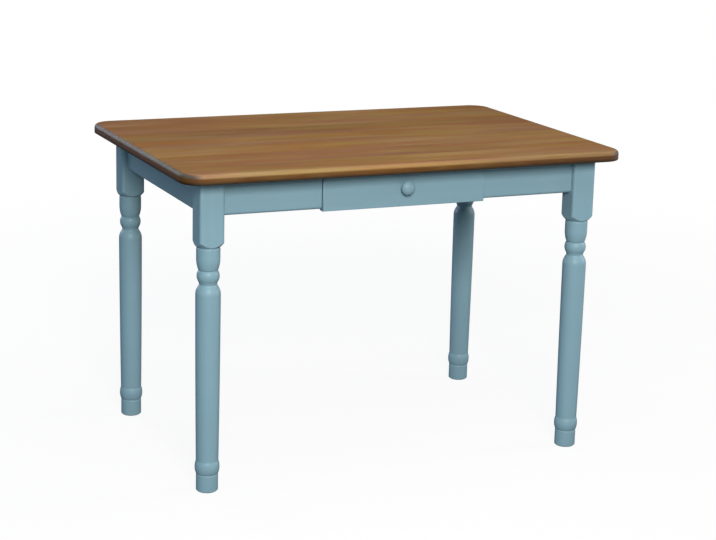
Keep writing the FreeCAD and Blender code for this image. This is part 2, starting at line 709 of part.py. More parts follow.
def make_corner_fixings():
    """Hanger bolt, washer and nut on the diagonal of each corner, and two screws in each brace."""
    bolt_length = f"bolt_bite + {BRACE_FAR} - {LEG_CORNER} + washer_thickness + nut_height + bolt_tail"
    bolt = make_rod("hanger_bolt", "bolt_radius", bolt_length)
    washer = make_washer()
    nut = make_nut()
    screw = make_wood_screw("brace_screw", "brace_screw_length")
    bolts, washers, nuts, screws = [], [], [], []
    starts = (
        (bolts, bolt, f"({LEG_CORNER} - bolt_bite)"),
        (washers, washer, BRACE_FAR),
        (nuts, nut, f"({BRACE_FAR} + washer_thickness)"),
    )
    for corner, side_x, side_y, turn in CORNERS:
        axis = (f"{side_x} * {LEG_X}", f"{side_y} * {LEG_Y}")
        diagonal = turn_of(turn).multVec(FreeCAD.Vector(1, 1, 0))
        for copies, master, start in starts:
            reach = f"{start} / sqrt(2)"
            spot = in_frame((*axis, BRACE_MIDDLE, turn), reach, reach, "0")
            copies.append(copy_of(master, spot, diagonal))
        for place, direction in brace_screw_places("screw_head_height"):
            spot = in_frame((*axis, BRACE_BOTTOM, turn), *place)
            screws.append(copy_of(screw, spot, turn_of(turn).multVec(FreeCAD.Vector(*direction))))
    group("hanger_bolts", bolts)
    group("bolt_washers", washers)
    group("bolt_nuts", nuts)
    group("brace_screws", screws)


# ---- buttons that hold the top ----

def make_buttons():
    """Wooden buttons: an L-shaped block whose tongue hooks into the groove of a rail."""
    button = new_body("button")
    groove_top = "(rail_height - button_groove_drop)"
    block_top = "(rail_height - button_gap)"
    block_bottom = f"({block_top} - button_depth)"
    block_front = "(tongue_length + button_gap)"
    outline = new_sketch(button, "button_outline", "YZ_Plane")
    draw_outline(outline, (
        ("0", f"{groove_top} - tongue_height"),
        (block_front, f"{groove_top} - tongue_height"),
        (block_front, block_bottom),
        (f"{block_front} + button_length", block_bottom),
        (f"{block_front} + button_length", block_top),
        (block_front, block_top),
        (block_front, groove_top),
        ("0", groove_top),
    ))
    pad(button, "button_block", outline, "button_width")
    sink_screw(button, "button_hole", "button_depth",
               ("button_width / 2", "tongue_length + button_screw_inset", block_bottom), (0, 0, 1))
    screw = make_wood_screw("button_screw", "button_screw_length")
    buttons, screws = [], []
    for rail, along in BUTTON_PLACES:
        frame = RAIL_FRAMES[rail]
        spot = in_frame(frame, f"{along} - button_width / 2", "rail_thickness - tongue_length", "0")
        link = copy_of(button, spot)
        link.Placement.Rotation = turn_of(frame[3])
        buttons.append(link)
        screws.append(copy_of(screw, button_spot(rail, along), (0, 0, 1)))
    group("tabletop_buttons", buttons)
    group("button_screws", screws)


# ---- guides, runners and stops ----

def runner_screw_reaches():
    """Places of the strip's screws along the guide, evenly spaced."""
    step = f"({GUIDE_LENGTH} - 2 * runner_screw_inset) / {RUNNER_SCREWS - 1}"
    return [f"runner_screw_inset + {number} * {step}" for number in range(RUNNER_SCREWS)]


def closing_stop_reach():
    """Front face of a closing stop, along the guide from its front end."""
    return f"{LONG_RAIL_INSIDE} + {BOX_END} + slide_gap"


def make_guide(label, side):
    """Guide board beside the drawer, dowelled to the front and back rails."""
    left = f"-1 * ({OPENING_EDGE} + guide_thickness)" if side < 0 else OPENING_EDGE
    guide = board(label, ("guide_thickness", GUIDE_LENGTH, "rail_height"),
                  (left, f"-1 * {LONG_RAIL_INSIDE}", RAIL_BOTTOM))
    inner_face = "guide_thickness" if side < 0 else "0"
    depth = "dowel_length - dowel_in_rail + pilot_room"
    for row, level in enumerate(dowel_levels()):
        middle = "guide_thickness / 2"
        drill(guide, f"{label}_front_dowel_{row}", "dowel_radius + dowel_fit", depth,
              (middle, "0", level), (0, 1, 0))
        drill(guide, f"{label}_back_dowel_{row}", "dowel_radius + dowel_fit", depth,
              (middle, GUIDE_LENGTH, level), (0, -1, 0))
    bite = "short_screw_length - runner_width + pilot_room"
    for number, reach in enumerate(runner_screw_reaches()):
        drill(guide, f"{label}_pilot_{number}", "screw_radius + screw_fit", bite,
              (inner_face, reach, "runner_height / 2"), (side, 0, 0))
    drill(guide, f"{label}_stop_pilot", "screw_radius + screw_fit", bite,
          (inner_face, f"{closing_stop_reach()} + closing_stop_length / 2",
           "runner_height + closing_stop_height / 2"), (side, 0, 0))
    nodes.append(guide)


def runner_left_face(side):
    """Left face of the strip on one side of the drawer."""
    return f"-1 * {OPENING_EDGE}" if side < 0 else f"{OPENING_EDGE} - runner_width"


def make_runner(label, side):
    """Strip that carries the drawer, screwed to its guide board."""
    runner = board(label, ("runner_width", GUIDE_LENGTH, "runner_height"),
                   (runner_left_face(side), f"-1 * {LONG_RAIL_INSIDE}", RAIL_BOTTOM))
    open_face = "runner_width" if side < 0 else "0"
    for number, reach in enumerate(runner_screw_reaches()):
        sink_screw(runner, f"{label}_hole_{number}", "runner_width",
                   (open_face, reach, "runner_height / 2"), (side, 0, 0))
    nodes.append(runner)


def make_closing_stops():
    """Blocks on the strips, behind the closed drawer."""
    blocks = []
    for name, side in (("left", -1), ("right", 1)):
        spot = (runner_left_face(side), f"{BOX_END} + slide_gap", f"{RAIL_BOTTOM} + runner_height")
        block = board(f"closing_stop_{name}",
                      ("runner_width", "closing_stop_length", "closing_stop_height"), spot)
        open_face = "runner_width" if side < 0 else "0"
        sink_screw(block, f"closing_stop_hole_{name}", "runner_width",
                   (open_face, "closing_stop_length / 2", "closing_stop_height / 2"), (side, 0, 0))
        blocks.append(block)
    group("closing_stops", blocks)


def pullout_screw_spot(side):
    """Head of a pull-out stop's screw, in the table's frame."""
    return (f"{side} * pullout_screw_spacing / 2", f"{STOP_FRONT} - pullout_stop_width / 2",
            f"{UNDER_TOP} - pullout_stop_drop")


def make_pullout_stop():
    """Block under the top that the drawer back meets when the drawer is fully open."""
    stop = board("pullout_stop", ("pullout_stop_length", "pullout_stop_width", "pullout_stop_drop"),
                 ("-1 * pullout_stop_length / 2", f"{STOP_FRONT} - pullout_stop_width",
                  f"{UNDER_TOP} - pullout_stop_drop"))
    for number, side in enumerate((-1, 1)):
        along = f"pullout_stop_length / 2 + {side} * pullout_screw_spacing / 2"
        sink_screw(stop, f"pullout_hole_{number}", "pullout_stop_drop",
                   (along, "pullout_stop_width / 2", "0"), (0, 0, 1))
    nodes.append(stop)


def make_runner_screws():
    """Screws of the strips and of the stops."""
    screw = make_wood_screw("short_screw", "short_screw_length")
    runner_screws, stop_screws = [], []
    for side in (-1, 1):
        face = f"{side} * ({OPENING_EDGE} - runner_width)"
        for reach in runner_screw_reaches():
            spot = (face, f"{reach} - {LONG_RAIL_INSIDE}", f"{RAIL_BOTTOM} + runner_height / 2")
            runner_screws.append(copy_of(screw, spot, (side, 0, 0)))
        middle = f"{BOX_END} + slide_gap + closing_stop_length / 2"
        level = f"{RAIL_BOTTOM} + runner_height + closing_stop_height / 2"
        stop_screws.append(copy_of(screw, (face, middle, level), (side, 0, 0)))
        stop_screws.append(copy_of(screw, pullout_screw_spot(side), (0, 0, 1)))
    group("runner_screws", runner_screws)
    group("stop_screws", stop_screws)


def make_guide_dowels():
    """Two dowels at each end of each guide board."""
    dowel = make_rod("dowel", "dowel_radius", "dowel_length")
    copies = []
    for side in (-1, 1):
        x = f"{side} * ({OPENING_EDGE} + guide_thickness / 2)"
        for end in (-1, 1):
            start = f"{end} * ({LONG_RAIL_INSIDE} + dowel_in_rail)"
            for level in dowel_levels():
                copies.append(copy_of(dowel, (x, start, f"{RAIL_BOTTOM} + {level}"), (0, -end, 0)))
    group("guide_dowels", copies)


# ---- the drawer ----

def small_dowel_levels():
    """Heights of the drawer back's dowels above its lower edge."""
    return ("small_dowel_first", "small_dowel_first + small_dowel_spacing")


def pin_levels():
    """Heights of the nails above the drawer sides' lower edge."""
    return ("pin_first", "pin_first + pin_spacing")


def bottom_screw_places():
    """Places of the bottom panel's screws across the drawer."""
    return [f"{step} * bottom_screw_spacing" for step in (-1, 0, 1)]


def make_drawer_front():
    """Drawer front with rounded face edges, rebates for the sides and a groove for the panel."""
    height = f"({UNDER_TOP} - drawer_front_top_gap - {FRONT_BOTTOM})"
    front = board("drawer_front", ("drawer_front_width", "drawer_front_thickness", height),
                  (f"-1 * {DRAWER_EDGE}", f"-1 * {FRONT_FACE}", FRONT_BOTTOM))
    soften(front, "face_edges", "drawer_front_round", lambda box: box.YMax < TINY)
    rebate_face = "drawer_front_thickness - rebate_depth"
    seat = f"{BOX_BOTTOM} - {FRONT_BOTTOM}"
    far_side = "drawer_front_width - side_thickness"
    for name, left in (("left", "0"), ("right", far_side)):
        cut_box(front, f"{name}_rebate", ("side_thickness", "rebate_depth", f"{height} - ({seat})"),
                (left, rebate_face, seat))
    groove_length = "drawer_front_width - 2 * side_thickness"
    groove_height = "bottom_thickness + bottom_groove_play"
    cut_box(front, "front_panel_groove", (groove_length, "bottom_groove_depth", groove_height),
            ("side_thickness", "drawer_front_thickness - bottom_groove_depth",
             f"{PANEL_BOTTOM} - {FRONT_BOTTOM}"))
    drill(front, "knob_screw_hole", "screw_radius + screw_fit", "drawer_front_thickness",
          (DRAWER_EDGE, "0", "knob_height"), (0, 1, 0))
    for name, left, inward in (("left", "side_thickness", 1), ("right", far_side, -1)):
        for row, level in enumerate(pin_levels()):
            drill(front, f"{name}_pin_hole_{row}", "pin_radius + dowel_fit",
                  "pin_length - side_thickness + pilot_room",
                  (left, "drawer_front_thickness - rebate_depth / 2", f"{seat} + {level}"), (inward, 0, 0))
    nodes.append(front)


def make_drawer_side(label, side):
    """Drawer side with its groove for the panel, nail holes in front and dowel holes behind."""
    length = f"(rebate_depth - {FRONT_REAR} * -1 + {BOX_END})"
    left = f"-1 * {DRAWER_EDGE}" if side < 0 else f"{DRAWER_EDGE} - side_thickness"
    panel = board(label, ("side_thickness", length, f"{BOX_TOP} - {BOX_BOTTOM}"),
                  (left, f"-1 * ({FRONT_REAR} + rebate_depth)", BOX_BOTTOM))
    inner_face = "side_thickness" if side < 0 else "0"
    groove_left = "side_thickness - bottom_groove_depth" if side < 0 else "0"
    cut_box(panel, f"{label}_groove",
            ("bottom_groove_depth", length, "bottom_thickness + bottom_groove_play"),
            (groove_left, "0", "bottom_lift"))
    outer_face = "0" if side < 0 else "side_thickness"
    for row, level in enumerate(pin_levels()):
        drill(panel, f"{label}_pin_hole_{row}", "pin_radius + dowel_fit", "side_thickness",
              (outer_face, "rebate_depth / 2", level), (-side, 0, 0))
    for row, level in enumerate(small_dowel_levels()):
        drill(panel, f"{label}_dowel_hole_{row}", "small_dowel_radius + dowel_fit",
              "small_dowel_in_side + pilot_room",
              (inner_face, f"{length} - back_thickness / 2", f"bottom_lift + bottom_thickness + {level}"),
              (side, 0, 0))
    nodes.append(panel)


def make_drawer_back():
    """Drawer back, between the sides and on the bottom panel."""
    width = "(drawer_front_width - 2 * side_thickness)"
    back = board("drawer_back", (width, "back_thickness", f"{BOX_TOP} - {PANEL_TOP}"),
                 (f"side_thickness - {DRAWER_EDGE}", BACK_FACE, PANEL_TOP))
    middle = "back_thickness / 2"
    for row, level in enumerate(small_dowel_levels()):
        for name, end, inward in (("left", "0", 1), ("right", width, -1)):
            drill(back, f"back_dowel_{name}_{row}", "small_dowel_radius + dowel_fit",
                  "small_dowel_length - small_dowel_in_side + pilot_room",
                  (end, middle, level), (inward, 0, 0))
    for number, place in enumerate(bottom_screw_places()):
        drill(back, f"back_pilot_{number}", "small_screw_radius + screw_fit",
              "small_screw_length - small_head_height - bottom_thickness + pilot_room",
              (f"{width} / 2 + {place}", middle, "0"), (0, 0, 1))
    nodes.append(back)


def make_drawer_bottom():
    """Hardboard panel in the grooves of front and sides, screwed to the back from below."""
    reach = "(bottom_groove_depth - bottom_edge_play)"
    width = f"(drawer_front_width - 2 * side_thickness + 2 * {reach})"
    length = f"({FRONT_REAR} + {reach} + {BOX_END})"
    panel = board("drawer_bottom", (width, length, "bottom_thickness"),
                  (f"-1 * {width} / 2", f"-1 * ({FRONT_REAR} + {reach})", PANEL_BOTTOM))
    for number, place in enumerate(bottom_screw_places()):
        drill(panel, f"panel_hole_{number}", "small_screw_radius + screw_fit", "bottom_thickness",
              (f"{width} / 2 + {place}", f"{length} - back_thickness / 2", "0"), (0, 0, 1))
    nodes.append(panel)


def make_knob():
    """Turned knob, its foot on the drawer front and its domed head to the front."""
    knob = new_body("knob")
    knob.Placement = FreeCAD.Placement(FreeCAD.Vector(), FreeCAD.Rotation(UP, FreeCAD.Vector(0, -1, 0)))
    bind_base(knob, ("0", f"-1 * {FRONT_FACE}", KNOB_LEVEL))
    outline = new_sketch(knob, "knob_outline", "XZ_Plane")
    rim_top = "(knob_rim_height + knob_rim_width)"
    dome_height = f"(knob_length - {rim_top})"
    corners = (
        ("0", "0"),
        ("knob_base_radius", "0"),
        ("knob_base_radius", "knob_base_height"),
        ("knob_neck_radius", "knob_neck_height"),
        ("knob_radius", "knob_rim_height"),
        ("knob_radius", rim_top),
        ("0", "knob_length"),
    )
    dome = (f"(knob_radius ^ 2 + {dome_height} ^ 2) / (2 * {dome_height})", True)
    draw_outline(outline, corners, {5: dome})
    revolve(knob, "knob_turned", outline)
    drill(knob, "knob_hole", "screw_radius + screw_fit", "knob_hole_depth", ("0", "0", "0"), (0, 0, 1))
    nodes.append(knob)


def make_drawer_fixings():
    """Screw of the knob, nails of the front, dowels of the back and screws of the panel."""
    knob_screw = make_screw(
        "long_screw", "screw_radius", "knob_head_height + drawer_front_thickness + knob_screw_bite",
        "knob_head_radius", "knob_head_height")
    spot = ("0", f"knob_head_height - {FRONT_REAR}", KNOB_LEVEL)
    group("knob_screw", [copy_of(knob_screw, spot, (0, -1, 0))])

    pin = make_rod("pin", "pin_radius", "pin_length")
    pins = []
    for side in (-1, 1):
        for level in pin_levels():
            spot = (f"{side} * {DRAWER_EDGE}", f"-1 * ({FRONT_REAR} + rebate_depth / 2)",
                    f"{BOX_BOTTOM} + {level}")
            pins.append(copy_of(pin, spot, (-side, 0, 0)))
    group("drawer_front_pins", pins)

    dowel = make_rod("small_dowel", "small_dowel_radius", "small_dowel_length")
    dowels = []
    for side in (-1, 1):
        start = f"{side} * ({DRAWER_EDGE} - side_thickness + small_dowel_in_side)"
        for level in small_dowel_levels():
            spot = (start, f"{BOX_END} - back_thickness / 2", f"{PANEL_TOP} + {level}")
            dowels.append(copy_of(dowel, spot, (-side, 0, 0)))
    group("drawer_dowels", dowels)

    screw = make_screw(
        "small_screw", "small_screw_radius", "small_screw_length", "small_head_radius", "small_head_height")
    spots = [(place, f"{BOX_END} - back_thickness / 2", f"{PANEL_BOTTOM} - small_head_height")
             for place in bottom_screw_places()]
    group("drawer_bottom_screws", [copy_of(screw, spot, (0, 0, 1)) for spot in spots])


# ---- the whole table ----

def make_table():
    """Build every piece."""
    fill_sheet()
    make_tabletop()
    for corner in CORNERS:
        make_leg(*corner)
    make_rails()
    for corner in CORNERS:
        make_brace(*corner)
    make_corner_fixings()
    make_buttons()
    for name, side in (("left", -1), ("right", 1)):
        make_guide(f"drawer_guide_{name}", side)
        make_runner(f"drawer_runner_{name}", side)
    make_closing_stops()
    make_pullout_stop()
    make_runner_screws()
    make_guide_dowels()
    make_drawer_front()
    for name, side in (("left", -1), ("right", 1)):
        make_drawer_side(f"drawer_side_{name}", side)
    make_drawer_back()
    make_drawer_bottom()
    make_knob()
    make_drawer_fixings()
    doc.recompute()


def check_table():
    """Stop if any object failed or any piece has no sound solid."""
    for thing in doc.Objects:
        if "Invalid" in thing.State or "Error" in thing.State:
            raise RuntimeError(f"{thing.Label} failed: {thing.State}")
    for node in nodes:
        if node.Shape.isNull() or not node.Shape.isValid() or not node.Shape.Solids:
            raise RuntimeError(f"{node.Label} has no sound solid")


def write_table():
    """Write one STEP file for each piece."""
    os.makedirs("parts", exist_ok=True)
    for node in nodes:
        node.Shape.exportStep(f"parts/{node.Label}.step")


make_table()
check_table()
write_table()
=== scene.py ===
import math
from functools import partial

import bmesh
import bpy
import numpy as np
from bpy.props import FloatProperty, FloatVectorProperty, PointerProperty
from mathutils import Matrix, Vector


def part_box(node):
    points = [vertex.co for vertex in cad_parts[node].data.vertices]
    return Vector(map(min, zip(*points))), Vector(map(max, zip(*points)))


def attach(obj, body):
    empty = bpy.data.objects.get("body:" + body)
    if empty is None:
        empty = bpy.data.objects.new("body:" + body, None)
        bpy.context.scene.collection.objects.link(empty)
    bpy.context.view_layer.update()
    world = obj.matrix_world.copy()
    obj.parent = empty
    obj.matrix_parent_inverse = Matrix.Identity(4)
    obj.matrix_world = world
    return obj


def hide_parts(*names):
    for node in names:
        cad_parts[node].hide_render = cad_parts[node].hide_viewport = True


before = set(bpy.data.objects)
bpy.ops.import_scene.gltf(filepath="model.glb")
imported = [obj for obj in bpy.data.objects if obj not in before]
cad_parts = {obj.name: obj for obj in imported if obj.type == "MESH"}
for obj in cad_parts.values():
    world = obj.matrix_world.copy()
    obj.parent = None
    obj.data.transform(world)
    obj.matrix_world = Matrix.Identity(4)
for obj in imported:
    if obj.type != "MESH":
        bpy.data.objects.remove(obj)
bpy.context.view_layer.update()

bl_info = {
    "name": "Kitchen Table With Drawer",
    "version": (1, 0, 0),
    "blender": (4, 5, 0),
    "location": "3D View > Sidebar > Table",
    "description": "Turned, painted kitchen table with a stained top and a drawer",
    "category": "Add Mesh",
}

# The table's frame: the origin is on the floor under the middle of the top, +X runs along the table,
# the drawer faces -Y and +Z is up. Blender works in metres; the numbers below are millimetres.
MM = 0.001
X, Y, Z = np.eye(3)
FULL_TURN = 2 * math.pi

TOP_LOW, TOP_HIGH = (np.array(corner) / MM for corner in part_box("tabletop"))
RAIL_LOW, RAIL_HIGH = (np.array(corner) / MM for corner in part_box("rail_back"))
END_LOW, END_HIGH = (np.array(corner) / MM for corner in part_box("rail_right"))
KNOB_LOW, KNOB_HIGH = (np.array(corner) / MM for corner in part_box("knob"))
LEG_LOW, LEG_HIGH = (np.array(corner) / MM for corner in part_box("leg_front_right"))
SHORT_RAIL_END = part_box("rail_front_right")[0][0] / MM


def to_linear(colour):
    """Linear red, green, blue and alpha of an sRGB hex colour such as #8DAAB5."""
    srgb = np.array([int(colour[i:i + 2], 16) for i in (1, 3, 5)]) / 255
    linear = np.where(srgb <= 0.04045, srgb / 12.92, ((srgb + 0.055) / 1.055) ** 2.4)
    return (*linear.tolist(), 1.0)


# ---- what a user may change ----

def length(name, millimetres, description):
    """A length of the table, kept in metres."""
    return FloatProperty(name=name, description=description, default=millimetres * MM, min=0.0,
                         unit="LENGTH", subtype="DISTANCE")


def tint(name, colour, description):
    """A colour of the table, written as sRGB hex."""
    return FloatVectorProperty(name=name, description=description, size=4, min=0.0, max=1.0,
                               default=to_linear(colour), subtype="COLOR")


class TableSizes(bpy.types.PropertyGroup):
    """Roundings and widths that can be changed without a new frame."""

    top_corner: length("Top corners", 50, "Radius of the top's corners, seen from above")
    top_round: length("Upper edge", 10, "Rounding of the top's upper edge")
    top_lower_round: length("Lower edge", 3, "Rounding of the top's lower edge")
    stave_width: length("Staves", 107, "Width of the boards that the top is glued from")
    leg_edge: length("Leg edges", 7, "Rounding of the upright edges of a leg's square part")
    board_edge: length("Board edges", 1.0, "Easing of the boards' edges")
    rail_edge: length("Rail edges", 7, "Rounding of the rails' lower edges")


class TableColours(bpy.types.PropertyGroup):
    """Colours of the finishes."""

    stain: tint("Stain", "#8D633D", "Brown stain of the top, in the middle of its range")
    stain_olive: tint("Light stain", "#947643", "Greener, lighter streaks of the stain")
    stain_red: tint("Red stain", "#8B5838", "Redder patches of the stain")
    # The edge colour is a darker stain that also stands in for the edge's shade.
    edge_stain_and_shade: tint("Edge stain", "#5B360B", "Stain on the top's edge, where more is drawn in")
    paint: tint("Paint", "#80A5B3", "Dusty light blue satin paint")
    pine: tint("Bare wood", "#CFAE80", "Planed wood of the hidden frame and the drawer box")
    hardboard: tint("Hardboard", "#7B5A3C", "Pressed board of the drawer's bottom")
    steel: tint("Steel", "#B9BCBF", "Bright zinc plating")


# ---- surfaces ----

def quads(rows, columns):
    """Faces of a grid of points whose last column meets its first. Each joins two neighbouring
    columns on two neighbouring rows, so it faces out where columns run anticlockwise and rows up."""
    row = np.arange(rows - 1)[:, None] * columns
    column = np.arange(columns)[None, :]
    after = (column + 1) % columns
    corners = (row + column, row + after, row + columns + after, row + columns + column)
    return np.stack(np.broadcast_arrays(*corners), -1).reshape(-1, 4)


def tube(points):
    """Closed skin over an array of rows of points: the grid's quads and a flat cap on both ends."""
    rows, columns = points.shape[:2]
    ring = np.arange(columns)
    faces = quads(rows, columns).tolist()
    faces += [ring[::-1].tolist(), (ring + (rows - 1) * columns).tolist()]
    return points.reshape(-1, 3), faces


def together(shapes):
    """One list of points and faces from several."""
    points, faces, start = [], [], 0
    for some, their_faces in shapes:
        points.append(some)
        faces += [[start + corner for corner in face] for face in their_faces]
        start += len(some)
    return np.concatenate(points), faces


def bowed(start, end, rise, count):
    """Points on the arc from start to end that stands out by rise to the right of its chord. Along
    the chord a point lies at R sin(a), beside it at R cos(a) less the chord's own distance, where a
    runs over the arc's angle and R = (chord^2 / 4 + rise^2) / (2 rise). With no rise it is straight."""
    start, end = np.array(start, float), np.array(end, float)
    share = np.linspace(0, 1, count)[:, None]
    way = end - start
    chord = np.hypot(*way)
    line = start + share * way
    if not rise:
        return line
    radius = (chord ** 2 / 4 + rise ** 2) / (2 * abs(rise))
    half = math.asin(chord / 2 / radius)
    angle = (2 * share - 1) * half
    along = radius * np.sin(angle) + chord / 2
    beside = math.copysign(1, rise) * radius * (np.cos(angle) - math.cos(half))
    side = np.array([way[1], -way[0]]) / chord
    return start + along * way / chord + beside * side


# A part of a turned outline that is longer than PART_SIZE starts and ends with a step of NICK.
PART_SIZE, NICK, FINE_STEPS = 2.0, 0.3, 200


def outline(first, *parts):
    """Radii and heights up a turned shape: first is its lowest point, and each part gives the
    radius and height where it ends, how far it bows out and into how many steps it is divided.
    A short step at both ends of a part keeps the bend between two parts narrow."""
    points = [np.array([first], float)]
    at = first
    for radius, height, rise, steps in parts:
        arc = bowed(at, (radius, height), rise, steps + 1)
        size = np.hypot(radius - at[0], height - at[1])
        if size > PART_SIZE:
            fine = bowed(at, (radius, height), rise, FINE_STEPS + 1)
            places = np.array([NICK / size, 1 - NICK / size]) * FINE_STEPS
            steps_on = np.arange(FINE_STEPS + 1)
            near = np.stack([np.interp(places, steps_on, fine[:, i]) for i in (0, 1)], -1)
            arc = np.concatenate([arc[:1], near[:1], arc[1:-1], near[1:], arc[-1:]])
        points.append(arc[1:])
        at = (radius, height)
    return np.concatenate(points)


def round_angles(count):
    """Angles at equal steps round a full turn."""
    return np.arange(count) * FULL_TURN / count


def skin(radius, height, angle):
    """Rows of points round Z: at angle a a point with radius r and height h lies at
    (r cos a, r sin a, h)."""
    radius, height, angle = np.broadcast_arrays(radius, height, angle)
    return np.stack([radius * np.cos(angle), radius * np.sin(angle), height], -1)


def turned(line, columns):
    """Surface of revolution round Z over a line of radii and heights."""
    return skin(line[:, :1], line[:, 1:], round_angles(columns))


def placed(points, origin, axis, across):
    """Points made round Z, stood on origin with Z along axis and X near across."""
    axis = axis / np.linalg.norm(axis)
    across = across - axis * (across @ axis)
    across /= np.linalg.norm(across)
    basis = np.stack([across, np.cross(axis, across), axis])
    return points @ basis + origin


def eased(corners, radii):
    """Outline of a board's section, anticlockwise, with its outer corners rounded. A corner's arc
    starts and ends where the two sides touch its circle, and a point of it lies on the circle at an
    angle that runs from the first side's outward normal to the second side's."""
    corners = np.array(corners, float)
    before = corners - np.roll(corners, 1, 0)
    after = np.roll(corners, -1, 0) - corners
    before /= np.linalg.norm(before, axis=1)[:, None]
    after /= np.linalg.norm(after, axis=1)[:, None]
    points = []
    for corner, come, go, radius in zip(corners, before, after, radii):
        turn = math.atan2(come[0] * go[1] - come[1] * go[0], come @ go)
        if turn <= 0 or not radius:
            points.append(corner[None])
            continue
        reach = radius * math.tan(turn / 2)
        centre = corner - come * reach + radius * np.array([-come[1], come[0]])
        start = math.atan2(-come[0], come[1])
        steps = 3 if radius < 2 else 8
        angle = start + np.linspace(0, turn, steps + 1)
        points.append(centre + radius * np.stack([np.cos(angle), np.sin(angle)], -1))
    return np.concatenate(points)


def inset(line, depth):
    """A closed outline moved inwards by depth: each point goes along the sum of its two sides'
    inward normals, divided by one plus their product, which keeps both sides parallel."""
    way = np.roll(line, -1, 0) - line
    way /= np.linalg.norm(way, axis=1)[:, None]
    normal = np.stack([-way[:, 1], way[:, 0]], -1)
    last = np.roll(normal, 1, 0)
    share = 1 + (normal * last).sum(1)[:, None]
    return line + depth * (normal + last) / share


def prism(section, ends, right, up, ease, steps=3):
    """A section carried along the cross product of right and up, from one end to the other. Its
    ends are eased: at angle a of a quarter turn the section is ease (1 - sin a) smaller and lies
    ease (1 - cos a) from the end."""
    along = np.cross(right, up)
    angle = np.linspace(0, math.pi / 2, steps + 1)
    shrink = ease * (1 - np.sin(angle))
    step = ease * (1 - np.cos(angle))
    low, high = ends
    places = np.concatenate([low + step, (high - step)[::-1]])
    sizes = np.concatenate([shrink, shrink[::-1]])
    rings = np.stack([inset(section, size) for size in sizes])
    across = rings[..., 0, None] * right + rings[..., 1, None] * up
    return tube(across + places[:, None, None] * along)


# Faces narrower than this belong to an eased edge and are smooth; on turned pieces edges that are
# sharper than the angle stay sharp.
EDGE_WIDTH, SHARP_TURNING = 1.5, math.radians(50)


def build(name, shape, body, material, node, shade="boards"):
    """Makes a piece's object from points in millimetres. On boards the narrow faces are smooth and
    the wide ones flat; a turned piece is smooth but for its sharp edges."""
    points, faces = shape
    mesh = bpy.data.meshes.new(name)
    mesh.from_pydata((points * MM).tolist(), [], faces)
    mesh.validate()
    return dress(name, mesh, body, material, node, shade)


def dress(name, mesh, body, material, node, shade="boards"):
    """Gives a mesh its object, shading, material and body, and hides the CAD node that it stands for."""
    if shade == "boards":
        count = len(mesh.polygons)
        area, start, total = np.zeros(count), np.zeros(count, int), np.zeros(count, int)
        mesh.polygons.foreach_get("area", area)
        mesh.polygons.foreach_get("loop_start", start)
        mesh.polygons.foreach_get("loop_total", total)
        corner = np.zeros(len(mesh.loops), int)
        mesh.loops.foreach_get("vertex_index", corner)
        place = np.zeros(len(mesh.vertices) * 3)
        mesh.vertices.foreach_get("co", place)
        place = place.reshape(-1, 3)[corner]
        following = np.arange(len(corner)) + 1
        following[start + total - 1] = start
        border = np.add.reduceat(np.linalg.norm(place - place[following], axis=1), start)
        mesh.polygons.foreach_set("use_smooth", 2 * area / border < EDGE_WIDTH * MM)
    else:
        mesh.shade_smooth()
        mesh.set_sharp_from_angle(angle=SHARP_TURNING)
    mesh.update()
    piece = bpy.data.objects.new(name, mesh)
    bpy.context.scene.collection.objects.link(piece)
    mesh.materials.append(material)
    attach(piece, body)
    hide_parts(node)
    return piece


# Points closer than WELD are one, and a bevel goes on edges longer and sharper than the next two.
WELD, BEVEL_FROM, BEVEL_ANGLE, FLAT_ANGLE = 0.002, 6.0, math.radians(30), math.radians(1)


def eased_copy(node, ease):
    """A CAD node's solids with their triangles merged into whole faces and a bevel on every long
    sharp edge. The short edges round a drilled hole stay as they are."""
    work = bmesh.new()
    work.from_mesh(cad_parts[node].data)
    bmesh.ops.remove_doubles(work, verts=work.verts, dist=WELD * MM)
    bmesh.ops.dissolve_limit(work, angle_limit=FLAT_ANGLE, verts=work.verts, edges=work.edges)
    sharp = [edge for edge in work.edges if edge.calc_length() > BEVEL_FROM * MM and edge.is_manifold
             and edge.calc_face_angle(0) > BEVEL_ANGLE and edge.is_convex]
    bmesh.ops.bevel(work, geom=sharp, offset=ease * MM, offset_type="OFFSET", segments=2,
                    profile=0.5, affect="EDGES", clamp_overlap=True)
    mesh = bpy.data.meshes.new(node + "_eased")
    work.to_mesh(mesh)
    work.free()
    return mesh


# ---- materials ----

# A Mix node's sockets 6 and 7 are its colours A and B, and its output 2 is its colour.
MIXED = {"data_type": "RGBA", "out": 2}
TIMES = {"blend_type": "MULTIPLY", **MIXED}
SMOOTH = {"interpolation_type": "SMOOTHSTEP"}
WHITE = (1.0, 1.0, 1.0, 1.0)


def add_node(tree, kind, sockets=(), out=0, stops=(), **named):
    """Adds a node and gives one of its outputs, or all of them where out is None. sockets are values
    in the order of the node's sockets, or by number. A name with a capital is a socket too, with _
    for a space, and any other name is a setting. A value that is an output is linked. stops are the
    places and greys of a ramp."""
    node = tree.nodes.new("ShaderNode" + kind)
    values = dict(sockets if isinstance(sockets, dict) else enumerate(sockets))
    for name, given in named.items():
        if name[0].isupper():
            values[name.replace("_", " ")] = given
        else:
            setattr(node, name, given)
    for name, given in values.items():
        if isinstance(given, bpy.types.NodeSocket):
            tree.links.new(given, node.inputs[name])
        else:
            node.inputs[name].default_value = given
    if stops:
        ramp = node.color_ramp.elements
        while len(ramp) < len(stops):
            ramp.new(0.5)
        for element, (place, level) in zip(ramp, stops):
            element.position = place
            element.color = (level, level, level, 1.0)
    return node.outputs if out is None else node.outputs[out]


def new_material(name):
    """An empty material and the function that adds nodes to it."""
    material = bpy.data.materials.new(name)
    material.use_nodes = True
    material.node_tree.nodes.clear()
    return material, partial(add_node, material.node_tree)


